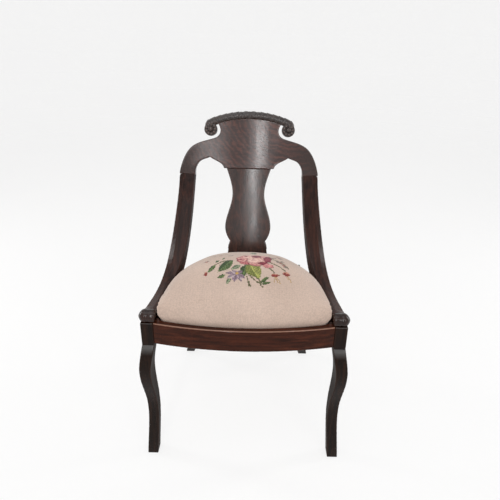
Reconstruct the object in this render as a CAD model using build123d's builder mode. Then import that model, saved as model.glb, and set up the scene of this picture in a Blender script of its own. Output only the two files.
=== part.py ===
import math
import os
from build123d import *

# Carved side chair with swept stiles and a drop-in seat. Millimetres, +Z up, facing -Y.
# The origin is on the floor in the middle of the chair.

# Heights
overall_height = 850.0
rail_top = 428.0
rail_height = 58.0
ledge_drop = 14.0

# Plan of the seat frame
front_span = 490.0
front_face_y = -229.0
block_width = 30.0
block_depth = 40.0
front_bow = 23.0
front_rail_thick = 27.0
front_rail_edge_radius = 5.0
rail_setback = 1.5
front_land = 14.0
side_rail_reveal = 5.0
side_rail_thick = 40.0
side_bow = 19.0
side_land = 31.5
rear_span = 324.0
rear_face_y = 125.0
rear_block_width = 32.0
rear_block_depth = 34.0
rear_rail_thick = 34.0
rear_land = 24.0
seat_corner_radius = 26.0
least_corner_radius = 6.0
front_corner_set = 3.0
rear_corner_out = 6.0
rear_corner_set = 9.0

# Joinery
tenon_thick = 9.0
tenon_length = 16.0
tenon_shoulder = 6.0
joint_clearance = 0.15
mortise_spare = 1.0
dowel_diameter = 8.0
dowel_length = 34.0
dowel_chamfer = 0.8
rear_tenon_cover = 4.0
glue_gap = 0.15
cut_spare = 1.0

# Front legs, offsets from the leg block
knee_out = 9.0
ankle_out = 8.0
foot_out = 16.0
knee_height = 305.0
ankle_height = 195.0
knee_width = 28.0
leg_waist = 26.0
leg_foot_width = 28.0
leg_stagger = 5.0
leg_top_lean = 0.1
leg_foot_lean = 0.08
knee_lift = 17.0
knee_forward = 15.0
knee_roll = 0.9
ankle_back = 4.0
foot_back = 3.0
knee_depth = 53.0
ankle_depth = 35.0
foot_depth = 33.0
leg_back_lean = 0.15
heel_lean = 0.05
block_step = 1.5
block_step_height = 4.0

# Rear legs
rear_foot_span = 438.0
rear_foot_width = 29.0
rear_foot_depth = 28.0
rear_foot_back_y = 252.0

# Stiles
stile_head_out = 5.5
stile_reveal = 1.0
stile_thick = 27.0
stile_low_rise = 13.0
stile_front_width = 27.0
stile_belly_width = 45.0
stile_top_width = 43.5
stile_edge_radius = 6.0
stile_rise_start = 86.0
stile_front_start = -8.0
crest_dowel_shares = (0.3, 0.7)
rail_dowel_shares = (0.28, 0.78)

# Knobs
knob_radius = 17.0
knob_length = 41.0
knob_overhang = 6.0
knob_flat = 6.0
knob_outer_round = 11.0
knob_inner_round = 3.0
knob_dowel_length = 24.0

# Back, with drops measured down the back from the middle of the roll
back_rake = 13.0
back_bow = 10.0
crest_top_y = 224.0
crest_thick = 26.0
crest_top_thick = 20.0
crest_chest_forward = 25.0
crest_chest_drop = 110.0
crest_hollow_forward = 37.5
crest_hollow_drop = 150.0
crest_foot_forward = 56.4
crest_foot_drop = 186.0
stile_joint_forward = 46.0
stile_joint_drop = 168.0
stile_joint_angle = 61.0
tablet_forward = 41.0
crest_corner_out = 7.0
crest_leg_length = 50.0
shoulder_flare = 9.0
shoulder_rise = 10.0
shoulder_round_rise = 59.0
crest_leg_inset = 5.0
crest_leg_taper = 3.0
crest_leg_rise = 4.0
cusp_round = 17.0
cusp_round_drop = 11.0
tablet_round = 11.0
tablet_round_drop = 17.0
shoulder_half_width = 196.0
cusp_half_width = 114.0
cusp_drop = 119.0
tablet_half_width = 73.0
tablet_drop = 151.0
neck_half_width = 84.0
neck_drop = 46.0
throat_half_width = 97.0
throat_drop = 63.5
roll_radius = 11.0
roll_flat = 2.5
roll_half_span = 109.0
roll_arch = 21.0
curl_radius = 14.0
roll_forward = 4.0
volute_radius = 17.5
volute_half_span = 112.0
volute_drop = 40.5
volute_thick = 24.0
volute_boss_radius = 6.5
volute_boss_height = 3.0
roll_dowel_length = 24.0
roll_dowel_half_span = 45.0
splat_thick = 13.0
splat_recess = 4.0
splat_foot_back = 8.0
splat_tenon = 14.0
splat_tenon_half = 42.0
splat_top_half = 65.0
splat_waist_half = 47.5
splat_waist_drop = 233.0
splat_bulge_half = 67.5
splat_bulge_drop = 328.0
splat_neck_half = 52.0
splat_neck_drop = 366.0
splat_base_half = 62.0

# Drop-in seat
seat_clearance = 1.2
seat_frame_width = 42.0
seat_frame_thick = 18.0
soft_gap = 0.3
webbing_width = 46.0
webbing_thick = 1.5
webbing_pitch = 76.0
hessian_thick = 1.0
crown_height = 97.0
cushion_wall = 24.0
drawn_in = 0.015
frame_play = 2.0
cover_thick = 2.5
hem_width = 28.0
hem_thick = 1.0
hem_lap = 1.5
tack_inset = 20.0
tack_head_radius = 3.0
tack_head_thick = 1.0
tack_shank_radius = 1.0
tack_length = 5.5
tack_pitch = 60.0
frame_joint_margin = 10.0
rear_pin_out = 22.0
pin_half_pitch = 9.0
strap_front_inset = 12.0
strap_rear_inset = 14.0
strap_end_inset = 10.0
hessian_inset = 6.0

# Corner blocks and screws
corner_block_reach = 86.0
corner_block_height = 30.0
corner_block_rise = 5.0
corner_block_inset = 4.0
cross_screw_out = 41.0
cross_screw_in = 38.0
side_screw_out = 33.0
side_screw_in = 56.0
screw_radius = 2.0
screw_head_radius = 4.0
screw_head_thick = 3.0
screw_length = 38.0

# Places worked out from the sizes above
rail_bottom = rail_top - rail_height
ledge_z = rail_top - ledge_drop
block_out = front_span / 2
block_in = block_out - block_width
block_rear_y = front_face_y + block_depth
rail_end_y = front_face_y + rail_setback
rear_out = rear_span / 2
rear_in = rear_out - rear_block_width
rear_block_front_y = rear_face_y - rear_block_depth
side_front = (block_out - side_rail_reveal, block_rear_y)
side_rear = (rear_out, rear_block_front_y)
side_chord = Vector(*side_rear) - Vector(*side_front)
side_normal = Vector(-side_chord.Y, side_chord.X).normalized()
side_middle = (Vector(*side_front) + Vector(*side_rear)) * 0.5 - side_normal * side_bow
seat_front_y = front_face_y - front_bow + front_land
seat_rear_y = rear_face_y - rear_land
seat_middle_y = (seat_front_y + seat_rear_y) / 2
seat_front_corner = (side_front[0] - side_land, front_face_y + front_land + front_corner_set)
seat_rear_corner = (rear_out - side_land + rear_corner_out, seat_rear_y - rear_corner_set)
seat_side = (side_middle.X - side_land, side_middle.Y)
rear_rail_front_y = rear_face_y - rear_rail_thick

os.makedirs("parts", exist_ok=True)


def seat_plan(inset, scale=1.0):
    """The drop-in seat's outline: bowed front, bowed sides and a slightly bowed rear."""

    def at(x, y):
        return (x * scale, seat_middle_y + (y - seat_middle_y) * scale)

    def mirrored(point):
        return (-point[0], point[1])

    front = at(0, seat_front_y + inset)
    rear = at(0, seat_rear_y - inset)
    side = at(seat_side[0] - inset, seat_side[1])
    front_corner = at(seat_front_corner[0] - inset, seat_front_corner[1] + inset)
    rear_corner = at(seat_rear_corner[0] - inset, seat_rear_corner[1] - inset)
    with BuildSketch(Plane.XY) as plan:
        with BuildLine():
            ThreePointArc(mirrored(front_corner), front, front_corner)
            ThreePointArc(front_corner, side, rear_corner)
            ThreePointArc(rear_corner, rear, mirrored(rear_corner))
            ThreePointArc(mirrored(rear_corner), mirrored(side), mirrored(front_corner))
        make_face()
        fillet(plan.vertices(), max(seat_corner_radius - inset, least_corner_radius) * scale)
    return plan.sketch


def save(piece, name):
    """Labels a finished piece and writes its file."""
    piece.label = name
    export_step(piece, "parts/" + name + ".step")


def save_pair(piece, name):
    """Writes the right-hand piece and its mirror image."""
    save(piece, "right_" + name)
    save(mirror(piece, about=Plane.YZ), "left_" + name)


def tenon_block(plane, thick, height, length):
    """A tenon's solid, with its root on the plane and its length along the normal."""
    with BuildPart() as tenon:
        with BuildSketch(plane):
            Rectangle(thick, height)
        extrude(amount=length)
    return tenon.part


def mortise_block(plane, thick, height, length):
    """The hole for the same tenon, with clearance all round and at its end."""
    spare = 2 * joint_clearance
    return tenon_block(plane, thick + spare, height + spare, length + mortise_spare)


def dowel(plane, length=dowel_length):
    """A dowel, half on each side of the plane."""
    with BuildPart() as pin:
        with BuildSketch(plane):
            Circle(dowel_diameter / 2)
        extrude(amount=length / 2, both=True)
        chamfer(pin.edges().filter_by(GeomType.CIRCLE), dowel_chamfer)
    return pin.part


def dowel_hole(plane, length=dowel_length):
    """The hole for the same dowel."""
    with BuildPart() as hole:
        with BuildSketch(plane):
            Circle(dowel_diameter / 2 + joint_clearance)
        extrude(amount=length / 2 + mortise_spare, both=True)
    return hole.part


# Tenon planes, shared by the two pieces of each joint
tenon_z = (rail_bottom + ledge_z) / 2
tenon_height = ledge_z - rail_bottom - 2 * tenon_shoulder
front_tenon = Plane(
    origin=(block_in, rail_end_y + front_rail_thick / 2, tenon_z), x_dir=(0, 1, 0), z_dir=(1, 0, 0)
)
side_tenon_x = (block_in + side_front[0]) / 2
side_tenon = Plane(origin=(side_tenon_x, block_rear_y, tenon_z), x_dir=(1, 0, 0), z_dir=(0, -1, 0))
rear_side_tenon = Plane(
    origin=((rear_in + rear_out) / 2, rear_block_front_y, tenon_z), x_dir=(-1, 0, 0), z_dir=(0, 1, 0)
)
rear_tenon_y = rear_face_y - tenon_thick / 2 - rear_tenon_cover
rear_tenon = Plane(origin=(rear_in, rear_tenon_y, tenon_z), x_dir=(0, 1, 0), z_dir=(1, 0, 0))

# The slip seat's recess, cut from every rail
with BuildPart() as recess:
    with BuildSketch(Plane.XY.offset(ledge_z)):
        add(seat_plan(0))
    extrude(amount=overall_height)

# Front rail: bowed face, rounded top edge, rebate behind the land
with BuildPart() as front_rail:
    with BuildSketch(Plane.XY.offset(rail_bottom)):
        with BuildLine():
            front_arc = ThreePointArc(
                (-block_in, rail_end_y),
                (0, front_face_y - front_bow),
                (block_in, rail_end_y),
            )
            Line(front_arc @ 1, (block_in, rail_end_y + front_rail_thick))
            ThreePointArc(
                (block_in, rail_end_y + front_rail_thick),
                (0, front_face_y - front_bow + front_rail_thick),
                (-block_in, rail_end_y + front_rail_thick),
            )
            Line((-block_in, rail_end_y + front_rail_thick), front_arc @ 0)
        make_face()
    extrude(amount=rail_height)
    top_front_edge = front_rail.edges().group_by(Axis.Z)[-1].sort_by(Axis.Y)[0]
    fillet(top_front_edge, front_rail_edge_radius)
    add(recess.part, mode=Mode.SUBTRACT)
    add(tenon_block(front_tenon, tenon_thick, tenon_height, tenon_length))
    mirror(about=Plane.YZ)

# Side rails: bowed in plan, top level with the seat ledge
with BuildPart() as side_rail:
    with BuildSketch(Plane.XY.offset(rail_bottom)):
        with BuildLine():
            outer = ThreePointArc(side_front, side_middle, side_rear)
            inner_front = (side_front[0] - side_rail_thick, side_front[1])
            inner_rear = (side_rear[0] - side_rail_thick, side_rear[1])
            Line(outer @ 1, inner_rear)
            ThreePointArc(inner_rear, (side_middle.X - side_rail_thick, side_middle.Y), inner_front)
            Line(inner_front, outer @ 0)
        make_face()
    extrude(amount=ledge_z - rail_bottom)
    add(tenon_block(side_tenon, tenon_thick, tenon_height, tenon_length))
    add(tenon_block(rear_side_tenon, tenon_thick, tenon_height, tenon_length))

# Rear rail, with the splat's mortise in its land
with BuildPart() as rear_rail:
    with BuildSketch(Plane.XY.offset(rail_bottom)):
        with Locations((0, rear_face_y - rear_rail_thick / 2)):
            Rectangle(2 * rear_in, rear_rail_thick)
    extrude(amount=rail_height)
    add(recess.part, mode=Mode.SUBTRACT)
    add(tenon_block(rear_tenon, tenon_thick, tenon_height, tenon_length))
    mirror(about=Plane.YZ)

# Front legs: the same S-curve sawn from the front and from the side
with BuildPart() as front_leg:
    foot_centre = (block_in + block_out) / 2 + foot_out
    with BuildSketch(Plane.XZ):
        with BuildLine():
            Polyline(
                (block_out, rail_bottom),
                (block_out, rail_top),
                (block_in, rail_top),
                (block_in, rail_bottom),
            )
            Spline(
                (block_in, rail_bottom),
                (block_out + knee_out - knee_width, knee_height - leg_stagger),
                (block_in + ankle_out, ankle_height),
                (foot_centre - leg_foot_width / 2, 0),
                tangents=((leg_top_lean, -1), (leg_foot_lean, -1)),
            )
            Line((foot_centre - leg_foot_width / 2, 0), (foot_centre + leg_foot_width / 2, 0))
            Spline(
                (foot_centre + leg_foot_width / 2, 0),
                (block_in + ankle_out + leg_waist, ankle_height + leg_stagger),
                (block_out + knee_out, knee_height),
                (block_out, rail_bottom),
                tangents=((-leg_foot_lean, 1), (-leg_top_lean, 1)),
            )
        make_face()
    extrude(amount=overall_height, both=True)
    with BuildSketch(Plane.YZ):
        with BuildLine():
            Polyline(
                (front_face_y + block_step, rail_bottom - block_step_height),
                (front_face_y, rail_bottom),
                (front_face_y, rail_top),
                (block_rear_y, rail_top),
                (block_rear_y, rail_bottom),
            )
            Spline(
                (block_rear_y, rail_bottom),
                (front_face_y - knee_forward + knee_depth, knee_height),
                (front_face_y + ankle_back + ankle_depth, ankle_height),
                (front_face_y + foot_back + foot_depth, 0),
                tangents=((-leg_back_lean, -1), (heel_lean, -1)),
            )
            Line((front_face_y + foot_back + foot_depth, 0), (front_face_y + foot_back, 0))
            Spline(
                (front_face_y + foot_back, 0),
                (front_face_y + ankle_back, ankle_height),
                (front_face_y - knee_forward, knee_height + knee_lift),
                (front_face_y + block_step, rail_bottom - block_step_height),
                tangents=((0, 1), (knee_roll, 1)),
            )
        make_face()
    extrude(amount=overall_height, both=True, mode=Mode.INTERSECT)
    add(mortise_block(front_tenon, tenon_thick, tenon_height, tenon_length), mode=Mode.SUBTRACT)
    add(mortise_block(side_tenon, tenon_thick, tenon_height, tenon_length), mode=Mode.SUBTRACT)

# Rear legs: sabre curve back and outwards below a square block
with BuildPart() as rear_leg:
    with BuildSketch(Plane.XZ):
        with BuildLine():
            Polyline(
                (rear_out, rail_bottom),
                (rear_out, ledge_z),
                (rear_in, ledge_z),
                (rear_in, rail_bottom),
            )
            inner_foot_x = rear_foot_span / 2 - rear_foot_width
            outer_foot_x = rear_foot_span / 2
            Spline((rear_in, rail_bottom), (inner_foot_x, 0), tangents=((0, -1), (0.28, -1)))
            Line((inner_foot_x, 0), (outer_foot_x, 0))
            Spline((outer_foot_x, 0), (rear_out, rail_bottom), tangents=((-0.28, 1), (0, 1)))
        make_face()
    extrude(amount=overall_height, both=True)
    with BuildSketch(Plane.YZ):
        with BuildLine():
            Polyline(
                (rear_block_front_y, rail_bottom),
                (rear_block_front_y, ledge_z),
                (rear_face_y, ledge_z),
                (rear_face_y, rail_bottom),
            )
            Spline((rear_face_y, rail_bottom), (rear_foot_back_y, 0), tangents=((0, -1), (0.6, -1)))
            Line((rear_foot_back_y, 0), (rear_foot_back_y - rear_foot_depth, 0))
            Spline(
                (rear_foot_back_y - rear_foot_depth, 0),
                (rear_block_front_y, rail_bottom),
                tangents=((-0.6, 1), (0, 1)),
            )
        make_face()
    extrude(amount=overall_height, both=True, mode=Mode.INTERSECT)
    add(recess.part, mode=Mode.SUBTRACT)
    add(mortise_block(rear_side_tenon, tenon_thick, tenon_height, tenon_length), mode=Mode.SUBTRACT)
    add(mortise_block(rear_tenon, tenon_thick, tenon_height, tenon_length), mode=Mode.SUBTRACT)


# The stile's own frame: t runs back along its outer face, w runs inwards from that face
joint_y = crest_top_y - stile_joint_forward - back_bow
stile_head_x = shoulder_half_width + stile_head_out
stile_origin = Vector(side_front[0] - stile_reveal, side_front[1], 0)
toe = math.atan2(stile_origin.X - stile_head_x, joint_y - stile_origin.Y)
stile_back = Vector(-math.sin(toe), math.cos(toe), 0)
stile_out = Vector(math.cos(toe), math.sin(toe), 0)
stile_side = Plane(origin=stile_origin, x_dir=stile_back, z_dir=stile_out)
stile_plan = Plane(origin=stile_origin, x_dir=stile_back, z_dir=(0, 0, 1))
stile_low_z = rail_top + stile_low_rise


def on_stile(t, w, z):
    """A point in the chair's frame from the stile's own t, w and z."""
    return stile_origin + stile_back * t - stile_out * w + Vector(0, 0, z)


# The back's own frame: its plane leans with the crest, through the middle of the roll
rake = math.radians(back_rake)
roll_z = overall_height - roll_radius
roll_y = crest_top_y + crest_top_thick / 2 - roll_forward
back_up = Vector(0, math.sin(rake), math.cos(rake))
back_normal = Vector(0, -math.cos(rake), math.sin(rake))
back_plane = Plane(origin=(0, roll_y, roll_z), x_dir=(1, 0, 0), z_dir=back_normal)


def fall(drop):
    """The height of a point that lies this far down the back."""
    return roll_z - drop * math.cos(rake)


# The crest's front face in the middle of the chair, from below the stile joint to its top
crest_front = (
    (crest_top_y - crest_foot_forward, overall_height - crest_foot_drop),
    (crest_top_y - crest_hollow_forward, overall_height - crest_hollow_drop),
    (crest_top_y - crest_chest_forward, overall_height - crest_chest_drop),
    (crest_top_y, overall_height),
)
joint_z = overall_height - stile_joint_drop
joint_slope = math.radians(stile_joint_angle)
joint_along = math.cos(joint_slope)
joint_up = math.sin(joint_slope)
joint_t = (joint_y - stile_origin.Y + math.sin(toe) * stile_top_width / 2) / math.cos(toe)
joint_middle_t = joint_t + joint_up * stile_thick / 2
joint_middle_z = joint_z - joint_along * stile_thick / 2
joint_direction = stile_back * joint_along + Vector(0, 0, joint_up)
joint_plane = Plane(
    origin=on_stile(joint_middle_t, stile_top_width / 2, joint_middle_z),
    x_dir=stile_out,
    z_dir=joint_direction,
)
stile_crest_dowels = [
    Plane(
        origin=on_stile(joint_middle_t, share * stile_top_width, joint_middle_z),
        x_dir=stile_out,
        z_dir=joint_direction,
    )
    for share in crest_dowel_shares
]
stile_rail_dowels = [
    Plane(
        origin=on_stile(share * stile_rise_start, stile_front_width / 2, ledge_z),
        x_dir=stile_back,
        z_dir=(0, 0, 1),
    )
    for share in rail_dowel_shares
]

# Stiles: a swept strip sawn from the side, then sawn in plan on its inner face, clear of the seat
with BuildPart() as stile:
    run = joint_t - stile_front_start
    rise = joint_z - stile_low_z
    with BuildSketch(stile_side):
        with BuildLine():
            sweep_points = [(0.34, 0.035), (0.61, 0.265), (0.85, 0.65)]
            front_curve = Spline(
                (stile_front_start, stile_low_z),
                *[(stile_front_start + a * run, stile_low_z + b * rise) for a, b in sweep_points],
                (joint_t, joint_z),
                tangents=((1, 0), (joint_along, joint_up)),
            )
            under_points = []
            for u in (1.0, 0.86, 0.72, 0.58):
                heading = front_curve % u
                point = front_curve @ u
                under_points.append((point.X + heading.Y * stile_thick, point.Y - heading.X * stile_thick))
            Line(front_curve @ 1, under_points[0])
            Spline(
                *under_points,
                (stile_rise_start, ledge_z),
                tangents=((-joint_along, -joint_up), (-1, 0)),
            )
            notch_t = stile_front_width * math.tan(toe) + soft_gap
            Polyline(
                (stile_rise_start, ledge_z),
                (notch_t, ledge_z),
                (notch_t, rail_top),
                (stile_front_start, rail_top),
                (stile_front_start, stile_low_z),
            )
        make_face()
    extrude(amount=-1.5 * stile_belly_width)
    with BuildSketch(stile_plan):
        with BuildLine():
            inner_edge = Spline(
                (stile_front_start - cut_spare, stile_front_width),
                (0.9 * stile_rise_start, stile_front_width),
                (0.6 * run, stile_belly_width),
                (joint_t + stile_thick, stile_top_width),
                tangents=((1, 0), (1, -0.02)),
            )
            Polyline(
                inner_edge @ 1,
                (joint_t + stile_thick, 0),
                (stile_front_start - cut_spare, 0),
                inner_edge @ 0,
            )
        make_face()
    extrude(amount=overall_height, mode=Mode.INTERSECT)
    outer_face = stile.faces().filter_by(GeomType.PLANE).sort_by(SortBy.AREA)[-1]
    front_edge = outer_face.edges().sort_by(SortBy.LENGTH)[-2:].sort_by(Axis.Z)[-1]
    fillet(front_edge, stile_edge_radius)
    add(recess.part, mode=Mode.SUBTRACT)
    for hole in stile_crest_dowels + stile_rail_dowels:
        add(dowel_hole(hole), mode=Mode.SUBTRACT)

# Knobs: a short roll across each leg block, flat below and behind
knob_y = front_face_y + knob_radius
knob_z = rail_top + knob_radius - knob_flat
knob_dowel = Plane(origin=((block_in + block_out) / 2, knob_y, rail_top))
knob_end = Plane(origin=(block_out + knob_overhang, knob_y, knob_z), x_dir=(0, 1, 0), z_dir=(1, 0, 0))
with BuildPart() as knob:
    with BuildSketch(knob_end):
        Circle(knob_radius)
    extrude(amount=-knob_length)
    ends = knob.edges().filter_by(GeomType.CIRCLE).sort_by(Axis.X)
    fillet(ends[-1], knob_outer_round)
    inner_rim = knob.edges().filter_by(GeomType.CIRCLE).sort_by(Axis.X)[0]
    fillet(inner_rim, knob_inner_round)
    split(bisect_by=Plane.XY.offset(rail_top), keep=Keep.TOP)
    knob_back = Plane(origin=on_stile(stile_front_start, 0, 0), x_dir=stile_out, z_dir=stile_back)
    split(bisect_by=knob_back, keep=Keep.BOTTOM)
    add(dowel_hole(knob_dowel, knob_dowel_length), mode=Mode.SUBTRACT)
with BuildPart() as drilled_leg:
    add(front_leg.part)
    add(dowel_hole(knob_dowel, knob_dowel_length), mode=Mode.SUBTRACT)

# Splat: a vase outline sawn from a straight leaning board, with a tenon at each end
splat_foot_y = seat_rear_y + splat_foot_back
tablet_z = fall(tablet_drop)
crest_at_tablet = crest_top_y - tablet_forward
splat_lean = (crest_at_tablet + splat_recess - splat_foot_y) / (tablet_z - rail_top)


def splat_board(thick, low, high):
    """A leaning board across the chair, centred in the splat's thickness."""
    middle = splat_thick / 2
    with BuildPart() as board:
        with BuildSketch(Plane.YZ):
            with BuildLine():
                Polyline(
                    (splat_foot_y + splat_lean * (low - rail_top) + middle - thick / 2, low),
                    (splat_foot_y + splat_lean * (high - rail_top) + middle - thick / 2, high),
                    (splat_foot_y + splat_lean * (high - rail_top) + middle + thick / 2, high),
                    (splat_foot_y + splat_lean * (low - rail_top) + middle + thick / 2, low),
                    close=True,
                )
            make_face()
        extrude(amount=shoulder_half_width, both=True)
    return board.part


def splat_tenons(spare):
    """The tenons at the foot and the top, with spare all round for their mortises."""
    reach = splat_tenon + (mortise_spare if spare else 0.0)
    foot_drop = (roll_z - rail_top) / math.cos(rake)
    with BuildPart() as tenons:
        add(splat_board(tenon_thick + 2 * spare, rail_top - reach, tablet_z + reach))
        with BuildSketch(back_plane):
            with Locations((0, -tablet_drop / 2), (0, -foot_drop - tablet_drop / 2)):
                Rectangle(2 * splat_tenon_half + 2 * spare, tablet_drop)
        extrude(amount=overall_height, both=True, mode=Mode.INTERSECT)
    return tenons.part


with BuildPart() as splat:
    add(splat_board(splat_thick, rail_top, overall_height))
    with BuildSketch(back_plane):
        with BuildLine():
            base_drop = (roll_z - rail_top) / math.cos(rake) + splat_thick
            right_edge = Spline(
                (splat_top_half, -tablet_drop),
                (splat_waist_half, -splat_waist_drop),
                (splat_bulge_half, -splat_bulge_drop),
                (splat_neck_half, -splat_neck_drop),
                tangents=((-0.35, -1), (-0.75, -1)),
            )
            Spline(right_edge @ 1, (splat_base_half, -base_drop), tangents=((0.35, -1), (0.1, -1)))
            Line((splat_base_half, -base_drop), (0, -base_drop))
            Line((0, -base_drop), (0, -tablet_drop))
            Line((0, -tablet_drop), right_edge @ 0)
        make_face()
        mirror(about=Plane.YZ)
    extrude(amount=overall_height, both=True, mode=Mode.INTERSECT)
    add(splat_tenons(0))
with BuildPart() as mortised_rear_rail:
    add(rear_rail.part)
    add(splat_tenons(joint_clearance), mode=Mode.SUBTRACT)

# Crest rail: a bowed, leaning board sawn to the yoke outline
bow_radius = (shoulder_half_width**2 + back_bow**2) / (2 * back_bow)
bow_sweep = 1.5 * math.degrees(shoulder_half_width / bow_radius)
crest_leg_drop = tablet_drop + crest_leg_length
roll_arc_radius = (roll_half_span**2 + roll_arch**2) / (2 * roll_arch)
roll_seat = roll_radius - roll_flat
crest_arc_radius = roll_arc_radius - roll_seat - glue_gap
crest_corner_x = neck_half_width + crest_corner_out
crest_corner_drop = roll_arc_radius - math.sqrt(crest_arc_radius**2 - crest_corner_x**2)
roll_dowel_drop = roll_arc_radius - math.sqrt(crest_arc_radius**2 - roll_dowel_half_span**2)
roll_dowels = [
    Plane(
        origin=back_plane.from_local_coords((side * roll_dowel_half_span, -roll_dowel_drop)),
        x_dir=(1, 0, 0),
        z_dir=back_up,
    )
    for side in (-1, 1)
]
with BuildPart() as crest_rail:
    with BuildSketch(Plane.YZ):
        with BuildLine():
            front_line = Spline(*crest_front, tangents=((joint_along, joint_up), (0.2, 1)))
            back_points = []
            thicknesses = (crest_top_thick, crest_thick, crest_thick, crest_thick)
            for u, thick in zip((1.0, 0.6, 0.3, 0.0), thicknesses):
                heading = front_line % u
                point = front_line @ u
                back_points.append((point.X + heading.Y * thick, point.Y - heading.X * thick))
            Line(front_line @ 1, back_points[0])
            back_line = Spline(*back_points)
            Line(back_line @ 1, front_line @ 0)
        make_face()
    revolve(axis=Axis((0, crest_top_y - bow_radius, 0), (0, 0, 1)), revolution_arc=-bow_sweep)
    mirror(about=Plane.YZ)
    with BuildSketch(back_plane):
        with BuildLine():
            top_arc = ThreePointArc(
                (0, -(roll_seat + glue_gap)),
                (roll_dowel_half_span, -roll_dowel_drop),
                (crest_corner_x, -crest_corner_drop),
            )
            throat = Spline(
                top_arc @ 1,
                (neck_half_width, -neck_drop),
                (throat_half_width, -throat_drop),
                tangents=((-0.6, -1), (1, -0.5)),
            )
            shoulder = Spline(
                throat @ 1,
                (0.86 * shoulder_half_width, -tablet_drop + shoulder_round_rise),
                (shoulder_half_width, -tablet_drop + shoulder_rise),
                (shoulder_half_width + shoulder_flare, -crest_leg_drop),
                tangents=((1, -0.38), (0.1, -1)),
            )
            inner_x = shoulder_half_width - stile_top_width + crest_leg_inset
            inner_foot = (inner_x, -crest_leg_drop)
            Line(shoulder @ 1, inner_foot)
            inner_curve = Spline(
                inner_foot,
                (inner_x - crest_leg_taper, -tablet_drop + crest_leg_rise),
                (inner_x - cusp_round, -cusp_drop - cusp_round_drop),
                (cusp_half_width, -cusp_drop),
                tangents=((-0.02, 1), (-1, 0.55)),
            )
            tablet_curve = Spline(
                inner_curve @ 1,
                (tablet_half_width + tablet_round, -cusp_drop - tablet_round_drop),
                (tablet_half_width, -tablet_drop),
                tangents=((-1, -0.9), (-0.2, -1)),
            )
            Line(tablet_curve @ 1, (0, -tablet_drop))
            Line((0, -tablet_drop), top_arc @ 0)
        make_face()
        mirror(about=Plane.YZ)
    extrude(amount=overall_height, both=True, mode=Mode.INTERSECT)
    with BuildSketch(joint_plane):
        Rectangle(2 * stile_belly_width, 3 * stile_thick)
    below_joint = extrude(amount=-3 * stile_thick, mode=Mode.SUBTRACT)
    mirror(below_joint, about=Plane.YZ, mode=Mode.SUBTRACT)
    for hole in stile_crest_dowels:
        add(dowel_hole(hole), mode=Mode.SUBTRACT)
        add(mirror(dowel_hole(hole), about=Plane.YZ, mode=Mode.PRIVATE), mode=Mode.SUBTRACT)
    for hole in roll_dowels:
        add(dowel_hole(hole, roll_dowel_length), mode=Mode.SUBTRACT)
    add(splat_tenons(joint_clearance), mode=Mode.SUBTRACT)

# Crest roll: a bead with a flat seat, arched along the crest and ending in volutes
with BuildPart() as crest_roll:
    with BuildLine(back_plane) as roll_line:
        arch = ThreePointArc((-roll_half_span, -roll_arch), (0, 0), (roll_half_span, -roll_arch))
        JernArc(start=arch @ 1, tangent=arch % 1, radius=curl_radius, arc_size=-90)
        mirror(about=Plane.YZ)
    path = roll_line.wires()[0]
    with BuildSketch(Plane(origin=path @ 0, x_dir=back_plane.z_dir * -1, z_dir=path % 0)):
        Circle(roll_radius)
        with Locations((0, -roll_seat - roll_radius)):
            Rectangle(2 * roll_radius, 2 * roll_radius, mode=Mode.SUBTRACT)
    sweep(path=path)
    volutes = ((-volute_half_span, -volute_drop), (volute_half_span, -volute_drop))
    with BuildSketch(back_plane):
        with Locations(*volutes):
            Circle(volute_radius)
    extrude(amount=volute_thick / 2, both=True)
    with BuildSketch(back_plane.offset(volute_thick / 2)):
        with Locations(*volutes):
            Circle(volute_boss_radius)
    extrude(amount=volute_boss_height)
    for hole in roll_dowels:
        add(dowel_hole(hole, roll_dowel_length), mode=Mode.SUBTRACT)

# Corner blocks: triangles cut to the rails, and two screws through each of the four
screw_z = rail_bottom + corner_block_rise + corner_block_height / 2


def corner_block(corner, toward_middle, neighbours):
    """A triangular block in a corner of the frame, trimmed by the pieces around it."""
    x, y = corner
    with BuildPart() as block:
        with BuildSketch(Plane.XY.offset(rail_bottom + corner_block_rise)):
            with BuildLine():
                Polyline(
                    (x, y),
                    (x, y + toward_middle * corner_block_reach),
                    (x - corner_block_reach, y),
                    close=True,
                )
            make_face()
        extrude(amount=corner_block_height)
        for piece in neighbours:
            add(piece, mode=Mode.SUBTRACT)
    return block.part


def screw_solid(plane, spare):
    """A countersunk screw's head and shank along the plane's normal, or its hole."""
    with BuildPart() as body:
        with BuildSketch(plane):
            Circle(screw_radius + spare)
        extrude(amount=screw_length + 4 * spare)
        with BuildSketch(plane):
            Circle(screw_head_radius + spare)
        extrude(amount=screw_head_thick)
        if spare:
            with BuildSketch(plane):
                Circle(screw_head_radius + spare)
            extrude(amount=-corner_block_reach)
    return body.part


def corner_screws(corner, toward_middle):
    """Planes of the two screws of a corner block: one into the cross rail, one into the side rail."""
    x, y = corner
    cross_head = (x - cross_screw_out, y + toward_middle * cross_screw_in, screw_z)
    side_head = (x - side_screw_out, y + toward_middle * side_screw_in, screw_z)
    return [Plane(origin=cross_head, z_dir=(0, -toward_middle, 0)), Plane(origin=side_head, z_dir=(1, 0, 0))]


front_corner = (block_in - corner_block_inset, rail_end_y)
rear_corner = (rear_in, rear_rail_front_y)
front_block = corner_block(front_corner, 1, (front_rail.part, side_rail.part, front_leg.part))
rear_block = corner_block(rear_corner, -1, (mortised_rear_rail.part, side_rail.part, rear_leg.part))
front_screws = corner_screws(front_corner, 1)
rear_screws = corner_screws(rear_corner, -1)


def bored(piece, holes):
    """The piece with each of the holes cut from it."""
    with BuildPart() as result:
        add(piece)
        for hole in holes:
            add(hole, mode=Mode.SUBTRACT)
    return result.part


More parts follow.
